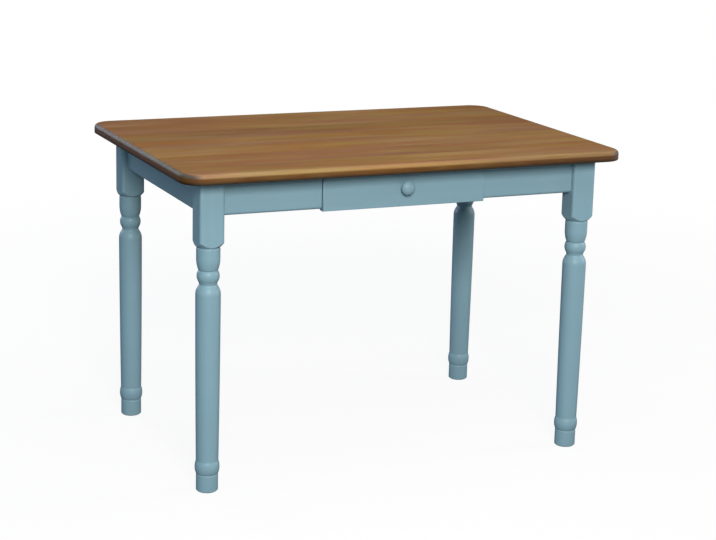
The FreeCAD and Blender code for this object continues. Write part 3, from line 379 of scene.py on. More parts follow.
def surfaced(add, colour, rough, height, strength, depth=0.2, **more):
    """Ends a material: a shader with its colour, roughness and relief, on the output. The relief's
    depth is in millimetres."""
    relief = add("Bump", Height=height, Strength=strength, Distance=depth * MM)
    shader = add("BsdfPrincipled", Base_Color=colour, Roughness=rough, Normal=relief, **more)
    add("OutputMaterial", (shader,), out=None)


GRAIN_TURN = {"x": (0.0, 0.0, 0.0), "y": (0.0, 0.0, -math.pi / 2), "z": (0.0, math.pi / 2, 0.0),
              "diagonal": (0.0, 0.0, -math.pi / 4), "counter": (0.0, 0.0, math.pi / 4)}


def along_grain(add, grain):
    """Object coordinates turned so that the grain runs along their X."""
    return add("Mapping", Vector=add("TexCoord", out="Object"), Rotation=GRAIN_TURN[grain])


def figure(add, place, cells, detail=2.0, roughness=0.5, distortion=0.0):
    """Soft figure between 0 and 1, with a number of cells per metre along the grain, across it and
    up."""
    where = add("Mapping", Vector=place, Scale=cells)
    return add("TexNoise", Vector=where, Scale=1.0, Detail=detail, Roughness=roughness,
               Distortion=distortion)


def weighted(add, start, *parts):
    """A number plus outputs, each times its weight."""
    for part, weight in parts:
        start = add("Math", (part, weight, start), operation="MULTIPLY_ADD")
    return start


def toned(add, colour, *levels):
    """A colour times one level for red, green and blue alike, or times one for each."""
    level = add("CombineColor", levels if len(levels) == 3 else levels * 3)
    return add("Mix", {0: 1.0, 6: colour, 7: level}, **TIMES)


def late_wood(add, place, pith, spacing, wobble, stops, waves=(1.6, 9.0, 9.0), rough=0.5, fold=0.0):
    """Late wood of a trunk whose middle, the pith, runs along the grain: a saw of the distance from
    it, with the line itself wandering by up to the wobble, so that flat faces show arches and end
    faces show curved rings. With a fold the distance across the grain runs to and fro, so one trunk
    serves many boards. All lengths are in millimetres: rings of fast-grown pine lie 4 to 5 mm
    apart."""
    wander = figure(add, place, waves, 2.0, rough)
    parts = add("SeparateXYZ", (place,), out=None)
    across = add("Math", (parts[1], (fold or pith[0]) * MM),
                 operation="PINGPONG" if fold else "SUBTRACT")
    up = add("Math", (parts[2], pith[1] * MM), operation="SUBTRACT")
    squares = [add("Math", (side, 2.0), operation="POWER") for side in (across, up)]
    reach = add("Math", (add("Math", squares, operation="ADD"),), operation="SQRT")
    reach = weighted(add, reach, (wander, wobble * MM))
    ring = add("Math", (add("Math", (reach, spacing * MM), operation="DIVIDE"),), operation="FRACT")
    return add("ValToRGB", (ring,), stops=stops)


def below_face(depth):
    """Height in metres of what lies a depth in millimetres below the top's face."""
    return (TOP_HIGH[2] - depth) * MM


def stained_pine():
    """Glued pine boards under brown stain and satin varnish: the eye gets long soft streaks, boards
    of slightly different tone, redder and greener patches and a warm, half-matt shine."""
    colours, sizes = bpy.context.scene.table_colours, bpy.context.scene.table_sizes
    material, add = new_material("stained_satin_pine")
    place = along_grain(add, "x")
    parts = add("SeparateXYZ", (place,), out=None)
    # Boards side by side across the grain, each with its own random tone and its own place in the
    # trunk, which is up to 3 m along the grain, 110 mm across it and 50 mm up from the others'.
    board = add("Math", (parts[1], TOP_HIGH[1] * MM), operation="ADD")
    board = add("Math", (board, sizes.stave_width), operation="DIVIDE")
    board = add("Math", (board,), operation="FLOOR")
    own = add("TexWhiteNoise", W=board, noise_dimensions="1D", out=None)
    shift = add("VectorMath", (own[1], (3.0, 0.11, 0.05)), operation="MULTIPLY")
    wood = add("VectorMath", (place, shift), operation="ADD")
    late = late_wood(add, wood, (0.0, 700.0), 5.2, 35.0,
                     ((0.0, 0.25), (0.55, 0.35), (0.86, 1.0), (1.0, 0.25)), (1.1, 7.0, 7.0), 0.45, 90.0)
    # Streaks 450 mm long and 20 to 40 mm wide, fibres 110 mm long and 1.6 mm wide, and pores as dark
    # dashes of 14 by 0.8 mm. Fibres and pores are drawn coarser than real ones, so that they show.
    streaks = figure(add, wood, (2.2, 24.0, 24.0), 3.0, 0.55)
    fibres = figure(add, wood, (9.0, 620.0, 620.0), 2.0, 0.6)
    pores = figure(add, wood, (70.0, 1300.0, 1300.0), 1.0)
    # Patches and bands of stain are about 330 mm long and 100 mm wide, and milky ones 67 mm wide.
    patches = figure(add, wood, (3.0, 9.0, 9.0))
    bands = figure(add, wood, (3.2, 10.0, 10.0))
    milky = figure(add, wood, (3.0, 15.0, 15.0))
    to_olive = add("MapRange", (streaks, 0.37, 0.66, 0.0, 0.80), **SMOOTH)
    to_red = add("MapRange", (patches, 0.50, 0.72, 0.0, 0.50), **SMOOTH)
    colour = add("Mix", {0: to_olive, 6: colours.stain, 7: colours.stain_olive}, **MIXED)
    colour = add("Mix", {0: to_red, 6: colour, 7: colours.stain_red}, **MIXED)
    pore = add("MapRange", (pores, 0.60, 0.75, 0.0, 0.22))
    tone = weighted(add, 0.607, (late, -0.17), (fibres, 0.24), (own[0], 0.12), (bands, 0.55),
                    (pore, -1.0))
    milky = add("Math", (tone, weighted(add, 0.35, (milky, 1.4))), operation="MULTIPLY")
    colour = toned(add, colour, tone, tone, milky)
    # The rounding is painted lighter, in shreds 110 mm long and 6 mm high: a painted highlight.
    facing = add("SeparateXYZ", (add("NewGeometry", out="Normal"),), out=None)
    rim = (parts[2], below_face(0.5), below_face(3.0))
    shreds = add("MapRange", (figure(add, place, (9.0, 9.0, 170.0)), 0.35, 0.6, 0.5, 1.25))
    painted_highlight = add("MapRange", (*rim, 0.0, 0.27), **SMOOTH)
    painted_highlight = add("Math", (painted_highlight, shreds), operation="MULTIPLY")
    colour = add("Mix", {0: painted_highlight, 6: colour, 7: (1.4, 2.0, 1.6, 1.0)}, **TIMES)
    # The boards' ends drink more stain and varnish than their sides: they are darker and duller. Their
    # colour is also turned blue-grey, which is a painted reflection.
    endwise = add("Math", (facing[0],), operation="ABSOLUTE")
    endwise = add("MapRange", (endwise, 0.08, 0.6), **SMOOTH)
    colour = add("Mix", {0: endwise, 6: colour, 7: (0.28, 0.42, 0.75, 1.0)}, **TIMES)
    # The upright edge is painted darker in streaks: a darker stain that also paints in the edge's shade.
    # Towards the lower side it turns almost black, which is painted shade.
    upright = add("MapRange", (parts[2], below_face(7.0), below_face(11.5)), **SMOOTH)
    darker_edge = add("MapRange", (figure(add, place, (11.0, 11.0, 150.0), 3.0, 0.6), 0.3, 0.7, 0.72, 1.0))
    darker_edge = add("Math", (upright, darker_edge), operation="MULTIPLY")
    # Painted shade: the lower part of the edge is darkened almost to black.
    painted_lower_shade = add("MapRange", (parts[2], below_face(13.0), below_face(22.5), 0.0, 0.95), **SMOOTH)
    dark = add("Mix", {0: darker_edge, 6: colour, 7: colours.edge_stain_and_shade}, **MIXED)
    dark = add("Mix", {0: painted_lower_shade, 6: dark, 7: (0.15, 0.2, 0.3, 1.0)}, **TIMES)
    # Towards the right end the edge is painted darker: painted shade that makes the edge's highlight
    # fade.
    painted_fade = add("MapRange", (parts[0], 0.0, 400.0 * MM), **SMOOTH)
    painted_fade = add("Math", (painted_fade, add("MapRange", rim)), operation="MULTIPLY")
    dark = add("Mix", {0: painted_fade, 6: dark, 7: (0.66, 0.62, 0.6, 1.0)}, **TIMES)
    # The side that faces down has one thin coat, which shows the boards.
    beneath = add("MapRange", (facing[2], -0.93, -0.99))
    colour = add("Mix", {0: beneath, 6: colour, 7: (0.8, 0.8, 0.8, 1.0)}, **TIMES)
    colour = add("Mix", {0: beneath, 6: dark, 7: colour}, **MIXED)
    rough = weighted(add, 0.34, (fibres, 0.16), (endwise, 0.11))
    height = weighted(add, 0.0, (fibres, 0.6), (late, 0.3), (pore, -2.0))
    surfaced(add, colour, rough, height, 0.25, IOR=1.5, Specular_IOR_Level=0.20)
    return material


def painted_wood(grain):
    """Satin paint brushed over planed or turned pine: a dusty blue with brush marks along the
    grain, a trace of the grain beneath it and a soft wide shine."""
    material, add = new_material("brushed_satin_paint_" + grain)
    place = along_grain(add, grain)
    # Brush hairs leave marks about 1 mm apart and 80 mm long, the strokes are 22 mm wide, and the
    # skin of the paint has an orange peel of 2 mm. The grain lies under them.
    brush = figure(add, place, (12.0, 900.0, 900.0), 3.0, 0.55)
    sweep = figure(add, place, (3.0, 45.0, 45.0))
    cloud = figure(add, place, (9.0, 9.0, 9.0))
    peel = figure(add, place, (500.0, 500.0, 500.0), 1.0)
    late = late_wood(add, place, (310.0, 620.0), 4.7, 20.0,
                     ((0.0, 0.0), (0.6, 0.15), (0.88, 1.0), (1.0, 0.0)))
    tone = weighted(add, 0.88, (sweep, 0.10), (brush, 0.06), (cloud, 0.08), (late, -0.02))
    colour = toned(add, bpy.context.scene.table_colours.paint, tone)
    height = weighted(add, 0.0, (brush, 0.7), (late, 0.25), (peel, 0.25))
    surfaced(add, colour, weighted(add, 0.36, (brush, 0.14)), height, 0.22, IOR=1.5,
             Specular_IOR_Level=0.3)
    return material


def planed_pine(grain):
    """Planed, untreated pine: pale honey wood with darker late rings, curved rings on end faces,
    fine fibres, a few resin flecks and no shine."""
    material, add = new_material("planed_pine_" + grain)
    place = along_grain(add, grain)
    late = late_wood(add, place, (137.0, 585.0), 4.3, 18.0,
                     ((0.0, 0.0), (0.5, 0.12), (0.87, 1.0), (1.0, 0.0)))
    # Fibres 70 mm long and 1.2 mm wide, drawn coarser than real ones so that they show, clouds
    # 400 mm long and 45 mm wide, and resin flecks of 12 by 0.7 mm.
    fibres = figure(add, place, (14.0, 800.0, 800.0), 3.0, 0.6)
    cloud = figure(add, place, (2.5, 22.0, 22.0))
    flecks = figure(add, place, (80.0, 1500.0, 1500.0), 0.0)
    fleck = add("MapRange", (flecks, 0.66, 0.78, 0.0, 0.3))
    tone = weighted(add, 0.87, (cloud, 0.16), (fibres, 0.14), (fleck, -1.0))
    pine = np.array(bpy.context.scene.table_colours.pine)
    share = weighted(add, 0.0, (late, 0.6))
    colour = add("Mix", {0: share, 6: pine, 7: pine * (0.78, 0.60, 0.42, 1.0)}, **MIXED)
    surfaced(add, toned(add, colour, tone), weighted(add, 0.55, (fibres, 0.2)),
             weighted(add, fibres, (late, 0.5)), 0.3, IOR=1.5, Specular_IOR_Level=0.3)
    return material


def pressed_hardboard():
    """Smooth face of pressed wood fibre: brown felt of short fibres in all directions with darker
    specks and a dull, slightly polished surface."""
    material, add = new_material("pressed_hardboard")
    place = along_grain(add, "x")
    # Matted fibres of 2.4 mm, drawn coarser than real ones so that they show, and specks of 1.5 mm.
    fibres = figure(add, place, (420.0, 420.0, 420.0), 4.0, 0.7, 2.5)
    specks = figure(add, place, (650.0, 650.0, 650.0), 0.0)
    cloud = figure(add, place, (14.0, 14.0, 14.0), 3.0)
    speck = add("MapRange", (specks, 0.62, 0.74, 0.0, 0.35))
    tone = weighted(add, 0.65, (fibres, 0.5), (cloud, 0.2), (speck, -1.0))
    colour = toned(add, bpy.context.scene.table_colours.hardboard, tone)
    surfaced(add, colour, weighted(add, 0.40, (fibres, 0.25)), fibres, 0.25, IOR=1.5,
             Specular_IOR_Level=0.4)
    return material


def zinc_steel():
    """Zinc-plated steel: a bright, slightly blue metal with fine scratches and cloudy roughness."""
    material, add = new_material("zinc_plated_steel")
    place = along_grain(add, "x")
    # Clouds of 3 mm, and scratches 8 mm long and 0.3 mm apart, drawn coarser so that they show.
    cloud = figure(add, place, (300.0, 300.0, 300.0), 3.0, 0.6)
    scratch = figure(add, place, (120.0, 3000.0, 3000.0), 2.0, 0.6)
    steel = np.array(bpy.context.scene.table_colours.steel)
    share = weighted(add, 0.0, (cloud, 0.5))
    colour = add("Mix", {0: share, 6: steel, 7: steel * (1.0, 0.94, 0.82, 1.0)}, **MIXED)
    rough = weighted(add, 0.2, (cloud, 0.2), (scratch, 0.12))
    surfaced(add, colour, rough, scratch, 0.15, 0.1, Metallic=1.0)
    return material


PLAIN = {"stained_satin_pine": stained_pine, "pressed_hardboard": pressed_hardboard,
         "zinc_plated_steel": zinc_steel}
GRAINED = {"brushed_satin_paint": painted_wood, "planed_pine": planed_pine}


def finish(kind, grain="x"):
    """A material that is made once and then shared."""
    if kind in PLAIN:
        return bpy.data.materials.get(kind) or PLAIN[kind]()
    return bpy.data.materials.get(f"{kind}_{grain}") or GRAINED[kind](grain)


# ---- the top ----

class TABLE_OT_top(bpy.types.Operator):
    """Add the glued top with its rounded corners and edges"""

    bl_idname = "kitchen_table.add_top"
    bl_label = "Top"

    def execute(self, context):
        sizes = context.scene.table_sizes
        corner, upper, lower = (size / MM for size in (sizes.top_corner, sizes.top_round,
                                                       sizes.top_lower_round))
        build("tabletop_panel", glued_top(corner, upper, lower), "table",
              finish("stained_satin_pine"), "tabletop")
        return {"FINISHED"}


# On both flat faces a last ring lies this much further in than the rounding.
FLAT_RING = 0.6


def glued_top(corner, upper, lower, steps=24, per_corner=20):
    """Rings round the plan, a rectangle with corners of one radius. The edge turns from the flat
    underside through a lower quarter, an upright strip and an upper quarter to the flat face: at
    angle a of a quarter of radius r the ring is r (1 - sin a) smaller and r (1 - cos a) from the
    flat. A ring that is smaller by s has corners of radius corner - s about the same centres."""
    quarter = np.linspace(0, math.pi / 2, steps + 1)
    low = np.stack([lower * (1 - np.sin(quarter)), TOP_LOW[2] + lower * (1 - np.cos(quarter))], -1)
    high = np.stack([upper * (1 - np.cos(quarter)), TOP_HIGH[2] - upper * (1 - np.sin(quarter))], -1)
    rings = np.concatenate([[[lower + FLAT_RING, TOP_LOW[2]]], low, high,
                            [[upper + FLAT_RING, TOP_HIGH[2]]]])
    turn = np.linspace(0, math.pi / 2, per_corner + 1)
    angle = np.concatenate([turn + k * math.pi / 2 for k in range(4)])
    signs = np.repeat(np.array([[1, 1], [-1, 1], [-1, -1], [1, -1]]), per_corner + 1, 0)
    centre = signs * (TOP_HIGH[:2] - corner)
    spread = corner - rings[:, 0, None]
    return tube(np.stack([centre[:, 0] + spread * np.cos(angle), centre[:, 1] + spread * np.sin(angle),
                          np.broadcast_to(rings[:, 1, None], (len(rings), len(angle)))], -1))


# ---- legs ----

LEG_BLOCK = LEG_HIGH[0] - LEG_LOW[0]
LEG_START = (22.3, 0.0)
LEG_PARTS = (
    # radius, height, rise of the arc, steps
    (25.3, 3.0, 0.0, 2),      # bevel of the foot
    (25.3, 42.0, 0.0, 2),     # plain foot
    (25.8, 73.0, 2.9, 24),    # ring
    (28.6, 463.0, 0.4, 24),   # tapered column
    (22.0, 483.0, 1.69, 18),  # shoulder
    (22.0, 493.0, -1.2, 10),  # cove
    (22.0, 519.0, 3.8, 22),   # bead
    (27.0, 546.0, 1.26, 14),  # flare of the vase
    (27.0, 573.0, 0.0, 2),    # straight part of the vase
)
PUMMEL = ((27.0, 573.0), (41.02, 590.0), 1.02)
# The turner's skew cuts a fine line where one detail meets the next: its heights, depth and width.
CREASES, CREASE_DEPTH, CREASE_WIDTH = np.array([41.5, 487.0, 519.0, 571.0]), 0.9, 1.4


def creased(line):
    """An outline with the fine lines cut in: the radius loses the depth times exp(-(d / width)^2), d
    being the distance in height from a line, on rows that are close together there."""
    near = (CREASES[:, None] + np.linspace(-3, 3, 13) * CREASE_WIDTH).ravel()
    height = np.unique(np.concatenate([line[:, 1], near]).round(3))
    away = (height[:, None] - CREASES) / CREASE_WIDTH
    radius = np.interp(height, line[:, 1], line[:, 0]) - CREASE_DEPTH * np.exp(-away ** 2).sum(1)
    return np.stack([radius, height], -1)


def turned_leg(edge, columns=240):
    """A turned leg with a square head. Its radius at height h and angle a is the smaller of the
    turned outline's and the square's: the square of half side s reaches s / cos a, and at a corner
    the circle of the edge's radius about (s - edge, s - edge). The turned shoulder below the square
    runs up at every angle to just where it meets the square."""
    angle = round_angles(columns)
    half = LEG_BLOCK / 2
    fold = np.abs((angle + math.pi / 4) % (math.pi / 2) - math.pi / 4)
    flat = half / np.cos(fold)
    centre = half - edge
    ahead = centre * (np.cos(fold) + np.sin(fold))
    beside = centre * (np.cos(fold) - np.sin(fold))
    corner = ahead + np.sqrt(np.maximum(edge ** 2 - beside ** 2, 0))
    square = np.where(flat * np.sin(fold) <= centre, flat, corner)
    line = creased(outline(LEG_START, *LEG_PARTS))
    radius = np.repeat(line[:, 0, None], columns, 1)
    height = np.repeat(line[:, 1, None], columns, 1)
    # Rows on the shoulder and up the square head, closer together where the surface bends.
    shoulder = bowed(*PUMMEL, FINE_STEPS)
    share = np.array([0.03, 0.1, 0.2, 0.3, 0.4, 0.5, 0.6, 0.7, 0.8, 0.9, 0.97, 1.0])[:, None]
    rise = PUMMEL[0][0] + (square - PUMMEL[0][0]) * share
    rise_height = np.interp(rise, shoulder[:, 0], shoulder[:, 1])
    up = np.array([0.005, 0.02, 0.1, 0.3, 0.5, 0.7, 0.9, 1.0])[:, None]
    head = np.repeat(square[None], len(up), 0)
    head_height = rise_height[-1] + (LEG_HIGH[2] - rise_height[-1]) * up
    radius = np.concatenate([radius, rise, head])
    height = np.concatenate([height, rise_height, head_height])
    return skin(radius, height, angle)


class TABLE_OT_legs(bpy.types.Operator):
    """Add the four turned legs"""

    bl_idname = "kitchen_table.add_legs"
    bl_label = "Legs"

    def execute(self, context):
        shape = turned_leg(context.scene.table_sizes.leg_edge / MM)
        for corner in ("front_left", "front_right", "back_left", "back_right"):
            low, high = (np.array(point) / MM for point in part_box("leg_" + corner))
            middle = np.array([*((low + high) / 2)[:2], 0.0])
            build(f"leg_{corner}_turned", tube(shape + middle), "table",
                  finish("brushed_satin_paint", "z"), "leg_" + corner, "turned")
        return {"FINISHED"}


# ---- rails and inner frame ----

# The groove of a rail: how far below the rail's top its two sides are, its depth and the rounding
# of its lips.
GROOVE_LOWER, GROOVE_UPPER, GROOVE_DEPTH, GROOVE_EASE = 20.0, 12.0, 8.0, 0.4


def rail_section(low, high, face, back, ease, rounded):
    """Section of a rail, from its inner face at back to its outer face, with the groove that the
    buttons of the top hook into."""
    groove_low, groove_high, deep = high - GROOVE_LOWER, high - GROOVE_UPPER, back + GROOVE_DEPTH
    corners = ((back, low), (face, low), (face, high), (back, high), (back, groove_high),
               (deep, groove_high), (deep, groove_low), (back, groove_low))
    return eased(corners, (rounded, rounded, ease, ease, GROOVE_EASE, 0, 0, GROOVE_EASE))


class TABLE_OT_rails(bpy.types.Operator):
    """Add the five rails between the legs"""

    bl_idname = "kitchen_table.add_rails"
    bl_label = "Rails"

    def execute(self, context):
        sizes = context.scene.table_sizes
        ease, rounded = sizes.board_edge / MM, sizes.rail_edge / MM
        low, high = RAIL_LOW[2], RAIL_HIGH[2]
        long_face, long_back = RAIL_HIGH[1], RAIL_LOW[1]
        end_face, end_back = END_HIGH[0], END_LOW[0]
        long_end, short_end = RAIL_HIGH[0], SHORT_RAIL_END
        long_section = rail_section(low, high, long_face, long_back, ease, rounded)
        end_section = rail_section(low, high, end_face, end_back, ease, rounded)
        rails = (
            ("rail_back", long_section, (-long_end, long_end), Y, "x"),
            ("rail_front_left", long_section, (short_end, long_end), -Y, "x"),
            ("rail_front_right", long_section, (-long_end, -short_end), -Y, "x"),
            ("rail_left", end_section, (END_LOW[1], END_HIGH[1]), -X, "y"),
            ("rail_right", end_section, (END_LOW[1], END_HIGH[1]), X, "y"),
        )
        for name, section, ends, outward, grain in rails:
            build(name + "_board", prism(section, ends, outward, Z, ease * 0.7), "table",
                  finish("brushed_satin_paint", grain), name)
        return {"FINISHED"}


# Bare boards and the drawer's front are eased by a share of the rails' easing, and the pressed
# panel by a length of its own.
BARE_SHARE, FRONT_SHARE, PANEL_EASE = 0.6, 0.5, 0.3


class TABLE_OT_inner_frame(bpy.types.Operator):
    """Add the unpainted wood inside the frame: braces, guides, strips, buttons and stops"""

    bl_idname = "kitchen_table.add_inner_frame"
    bl_label = "Inner frame"

    def execute(self, context):
        ease = context.scene.table_sizes.board_edge / MM * BARE_SHARE
        pieces = (
            ("corner_brace_front_left", "counter"), ("corner_brace_front_right", "diagonal"),
            ("corner_brace_back_left", "diagonal"), ("corner_brace_back_right", "counter"),
            ("drawer_guide_left", "y"), ("drawer_guide_right", "y"),
            ("drawer_runner_left", "y"), ("drawer_runner_right", "y"),
            ("tabletop_buttons", "y"), ("closing_stops", "y"), ("pullout_stop", "x"),
        )
        for node, grain in pieces:
            dress(node + "_wood", eased_copy(node, ease), "table", finish("planed_pine", grain),
                  node)
        return {"FINISHED"}


# ---- the drawer ----

class TABLE_OT_drawer(bpy.types.Operator):
    """Add the drawer's front and box"""

    bl_idname = "kitchen_table.add_drawer"
    bl_label = "Drawer"

    def execute(self, context):
        edge = context.scene.table_sizes.board_edge / MM
        dress("drawer_front_board", eased_copy("drawer_front", edge * FRONT_SHARE), "drawer",
              finish("brushed_satin_paint", "x"), "drawer_front")
        for node, grain in (("drawer_side_left", "y"), ("drawer_side_right", "y"), ("drawer_back", "x")):
            dress(node + "_board", eased_copy(node, edge * BARE_SHARE), "drawer",
                  finish("planed_pine", grain), node)
        dress("drawer_bottom_panel", eased_copy("drawer_bottom", PANEL_EASE), "drawer",
              finish("pressed_hardboard"), "drawer_bottom")
        return {"FINISHED"}


KNOB_START = (9.5, 0.0)
KNOB_PARTS = (
    # radius, distance from the drawer's face, rise of the arc, steps
    (9.5, 1.2, 0.0, 2),      # foot
    (7.0, 6.0, -0.5, 10),    # hollow neck
    (15.9, 14.2, -1.6, 18),  # underside of the head
    (15.7, 18.3, 0.75, 12),  # rim
    (0.05, 25.0, 2.1, 28),   # dome
)


class TABLE_OT_knob(bpy.types.Operator):
    """Add the turned knob of the drawer"""

    bl_idname = "kitchen_table.add_knob"
    bl_label = "Knob"

    def execute(self, context):
        line = outline(KNOB_START, *KNOB_PARTS)
        centre = ((KNOB_LOW[0] + KNOB_HIGH[0]) / 2, KNOB_HIGH[1], (KNOB_LOW[2] + KNOB_HIGH[2]) / 2)
        points = placed(turned(line, 96), centre, -Y, X)
        build("knob_turned", tube(points), "drawer", finish("brushed_satin_paint", "y"), "knob",
              "turned")
        return {"FINISHED"}


# ---- stage ----

CAMERA_PLACE = (-1793.01, -4067.45, 1511.09)
CAMERA_YAW, CAMERA_PITCH, CAMERA_ROLL = 0.4206905, 0.2420399, 0.0258136
FOCAL_PIXELS, IMAGE_WIDTH, SENSOR = 1846.745, 716, 36.0

SOFTBOXES = (
    # name, place, the point it faces, width, watts, colour
    ("front_softbox", (-1600, -5200, 2900), (0, 0, 450), 1700, 296.0, "#FFF6F0"),
    ("left_softbox", (-4500, -1200, 1300), (-400, 0, 500), 2500, 25.0, "#EAF5FF"),
    ("top_softbox", (-50, -500, 2100), (0, 0, 500), 1600, 14.5, "#FFFFFF"),
    ("rim_softbox", (-1500, 2850, 1550), (-500, 0, 740), 1800, 41.0, "#E4E6FF"),
    ("right_softbox", (4200, -1100, 1800), (300, 0, 350), 1600, 64.0, "#FFF6EC"),
)

# How much of the white surround lights the table, and its colour there.
SURROUND_SHARE, SURROUND_COLOUR = 0.16, "#B8E2FF"

# The floor and the velvet are in metres.
FLOOR_REACH, FLOOR_LEVEL, FLOOR_SIDES = 30.0, -0.0005, 64
VELVET_LEVEL, VELVET_BEND, VELVET_TOP = 0.003, 0.8, 4.5
# The velvet's plan, from the front left to the back right: its inner line on the floor, the line
# where it starts to rise and the way in which it rises there.
VELVET_INNER = ((-0.5, -0.42), (-0.45, -0.385), (0.62, -0.42), (1.2, -0.3))
VELVET_OUTER = ((-3.2, -2.2), (-3.0, 2.2), (-1.5, 3.4), (4.5, 3.4))
VELVET_OUTWARD = ((-1.0, 0.0), (-0.9, 0.4), (-0.3, 0.9), (0.0, 1.0))


class TABLE_OT_stage(bpy.types.Operator):
    """Add the floor, the lamps, the world and the camera"""

    bl_idname = "kitchen_table.add_stage"
    bl_label = "Stage"

    def execute(self, context):
        ring = skin(np.full((1, 1), FLOOR_REACH), FLOOR_LEVEL, round_angles(FLOOR_SIDES))
        floor = backdrop("studio_floor", ring, [list(range(FLOOR_SIDES))], pale_floor())
        velvet = backdrop("black_velvet", *velvet_sheet(), black_velvet())
        velvet.visible_camera = velvet.visible_diffuse = velvet.visible_transmission = False
        velvet.visible_shadow = False
        for softbox in SOFTBOXES:
            add_softbox(*softbox)
        add_world(SURROUND_SHARE, SURROUND_COLOUR)
        add_camera(context.scene)
        context.scene.view_settings.view_transform = "Standard"
        return {"FINISHED"}


def backdrop(name, points, faces, material):
    """An object of the stage, from points in metres."""
    mesh = bpy.data.meshes.new(name)
    mesh.from_pydata(points.reshape(-1, 3).tolist(), [], faces)
    mesh.materials.append(material)
    piece = bpy.data.objects.new(name, mesh)
    bpy.context.scene.collection.objects.link(piece)
    return piece


def pale_floor():
    """Plain white paper. The camera and shiny things see a white floor that keeps part of the
    shadow. Matt things get the light of a grey floor, so it does not fill their shaded sides."""
    material, add = new_material("pale_studio_floor")
    where = add("TexCoord", out="Object")
    paper = add("MapRange", {0: figure(add, where, (1.0, 1.0, 1.0)), 3: 0.93, 4: 0.95})
    white = add("BsdfDiffuse", Color=add("CombineColor", (paper, paper, paper)))
    glow = add("Emission", Color=WHITE, Strength=1.0)
    away = add("VectorMath", (where,), operation="LENGTH", out="Value")
    share = add("MapRange", (away, 1.0, 3.5, 0.9, 1.0), **SMOOTH)
    shown = add("MixShader", (share, white, glow))
    matt = add("BsdfDiffuse", Color=(0.13, 0.14, 0.15, 1.0))
    add("OutputMaterial", (add("MixShader", (seen_directly(add), matt, shown)),), out=None)
    return material


def seen_directly(add):
    """One for rays that see a thing as it is, from the camera, in a shine or through glass, and none
    for the light that a thing throws on others."""
    path = add("LightPath", out=None)
    seen = add("Math", (path["Is Camera Ray"], path["Is Glossy Ray"]), operation="MAXIMUM")
    return add("Math", (seen, path["Is Transmission Ray"]), operation="MAXIMUM")


def velvet_sheet():
    """Velvet that lies on the floor under the table and behind it, and rises on the left and at the
    back in a quarter circle. At angle a of the bend it lies the bend's radius times sin a further
    out and 1 - cos a higher. Only shines see it: it keeps the white surround out of the varnish
    and off the shaded sides."""
    angle = np.linspace(0, math.pi / 2, 17)
    reach = VELVET_BEND * np.sin(angle)[:, None, None]
    bent = np.array(VELVET_OUTER) + reach * np.array(VELVET_OUTWARD)
    plan = np.concatenate([np.array(VELVET_INNER)[None], bent, bent[-1:]])
    rise = VELVET_LEVEL + VELVET_BEND * (1 - np.cos(angle))
    height = np.concatenate([[VELVET_LEVEL], rise, [VELVET_TOP]])[:, None, None]
    rows, columns = plan.shape[:2]
    points = np.concatenate([plan, np.broadcast_to(height, (rows, columns, 1))], -1)
    row, column = np.meshgrid(np.arange(rows - 1) * columns, np.arange(columns - 1), indexing="ij")
    first = (row + column).ravel()
    faces = np.stack([first, first + 1, first + columns + 1, first + columns], -1)
    return points, faces.tolist()


def black_velvet():
    """Black velvet: a deep pile that throws almost nothing back."""
    material, add = new_material("black_velvet")
    pile = figure(add, add("TexCoord", out="Object"), (900.0, 900.0, 900.0))
    dark = add("MapRange", {0: pile, 3: 0.005, 4: 0.03})
    cloth = add("BsdfDiffuse", Color=add("CombineColor", (dark, dark, dark)), Roughness=1.0)
    add("OutputMaterial", (cloth,), out=None)
    return material


def add_softbox(name, place, target, width, power, colour):
    """A soft square lamp, in millimetres and watts, that faces a target."""
    lamp = bpy.data.lights.new(name, "AREA")
    lamp.shape = "SQUARE"
    lamp.size = width * MM
    lamp.energy = power
    lamp.color = to_linear(colour)[:3]
    holder = bpy.data.objects.new(name, lamp)
    place, target = Vector(place) * MM, Vector(target) * MM
    holder.matrix_world = Matrix.Translation(place) @ (
        (target - place).to_track_quat("-Z", "Y").to_matrix().to_4x4())
    bpy.context.scene.collection.objects.link(holder)
    holder.visible_camera = False


def add_world(strength, colour):
    """A white surround that lights the table with less than it shows, and a little bluer."""
    world = bpy.data.worlds.new("studio_surround")
    world.use_nodes = True
    tree = world.node_tree
    add = partial(add_node, tree)
    ground = tree.nodes["Background"]
    seen = seen_directly(add)
    shown = add("Mix", {0: seen, 6: to_linear(colour), 7: WHITE}, **MIXED)
    tree.links.new(shown, ground.inputs["Color"])
    level = weighted(add, strength, (seen, 1.0 - strength))
    tree.links.new(level, ground.inputs["Strength"])
    bpy.context.scene.world = world


def add_camera(scene):
    """The camera, turned by its yaw to the right of +Y, its pitch down and its roll."""
    yaw, pitch, roll = CAMERA_YAW, CAMERA_PITCH, CAMERA_ROLL
    level = np.array([math.cos(yaw), -math.sin(yaw), 0.0])
    ahead = np.array([math.sin(yaw), math.cos(yaw), 0.0]) * math.cos(pitch) - Z * math.sin(pitch)
    up = np.cross(level, ahead)
    right = level * math.cos(roll) + up * math.sin(roll)
    above = up * math.cos(roll) - level * math.sin(roll)
    lens = bpy.data.cameras.new("studio_camera")
    lens.sensor_fit = "HORIZONTAL"
    lens.sensor_width = SENSOR
    lens.lens = FOCAL_PIXELS * SENSOR / IMAGE_WIDTH
    lens.clip_start, lens.clip_end = 0.1, 100.0
    camera = bpy.data.objects.new("studio_camera", lens)
    turn = Matrix(np.stack([right, above, -ahead], 1).tolist())
    camera.matrix_world = Matrix.Translation(Vector(CAMERA_PLACE) * MM) @ turn.to_4x4()
    scene.collection.objects.link(camera)
    scene.camera = camera


# ---- fasteners ----

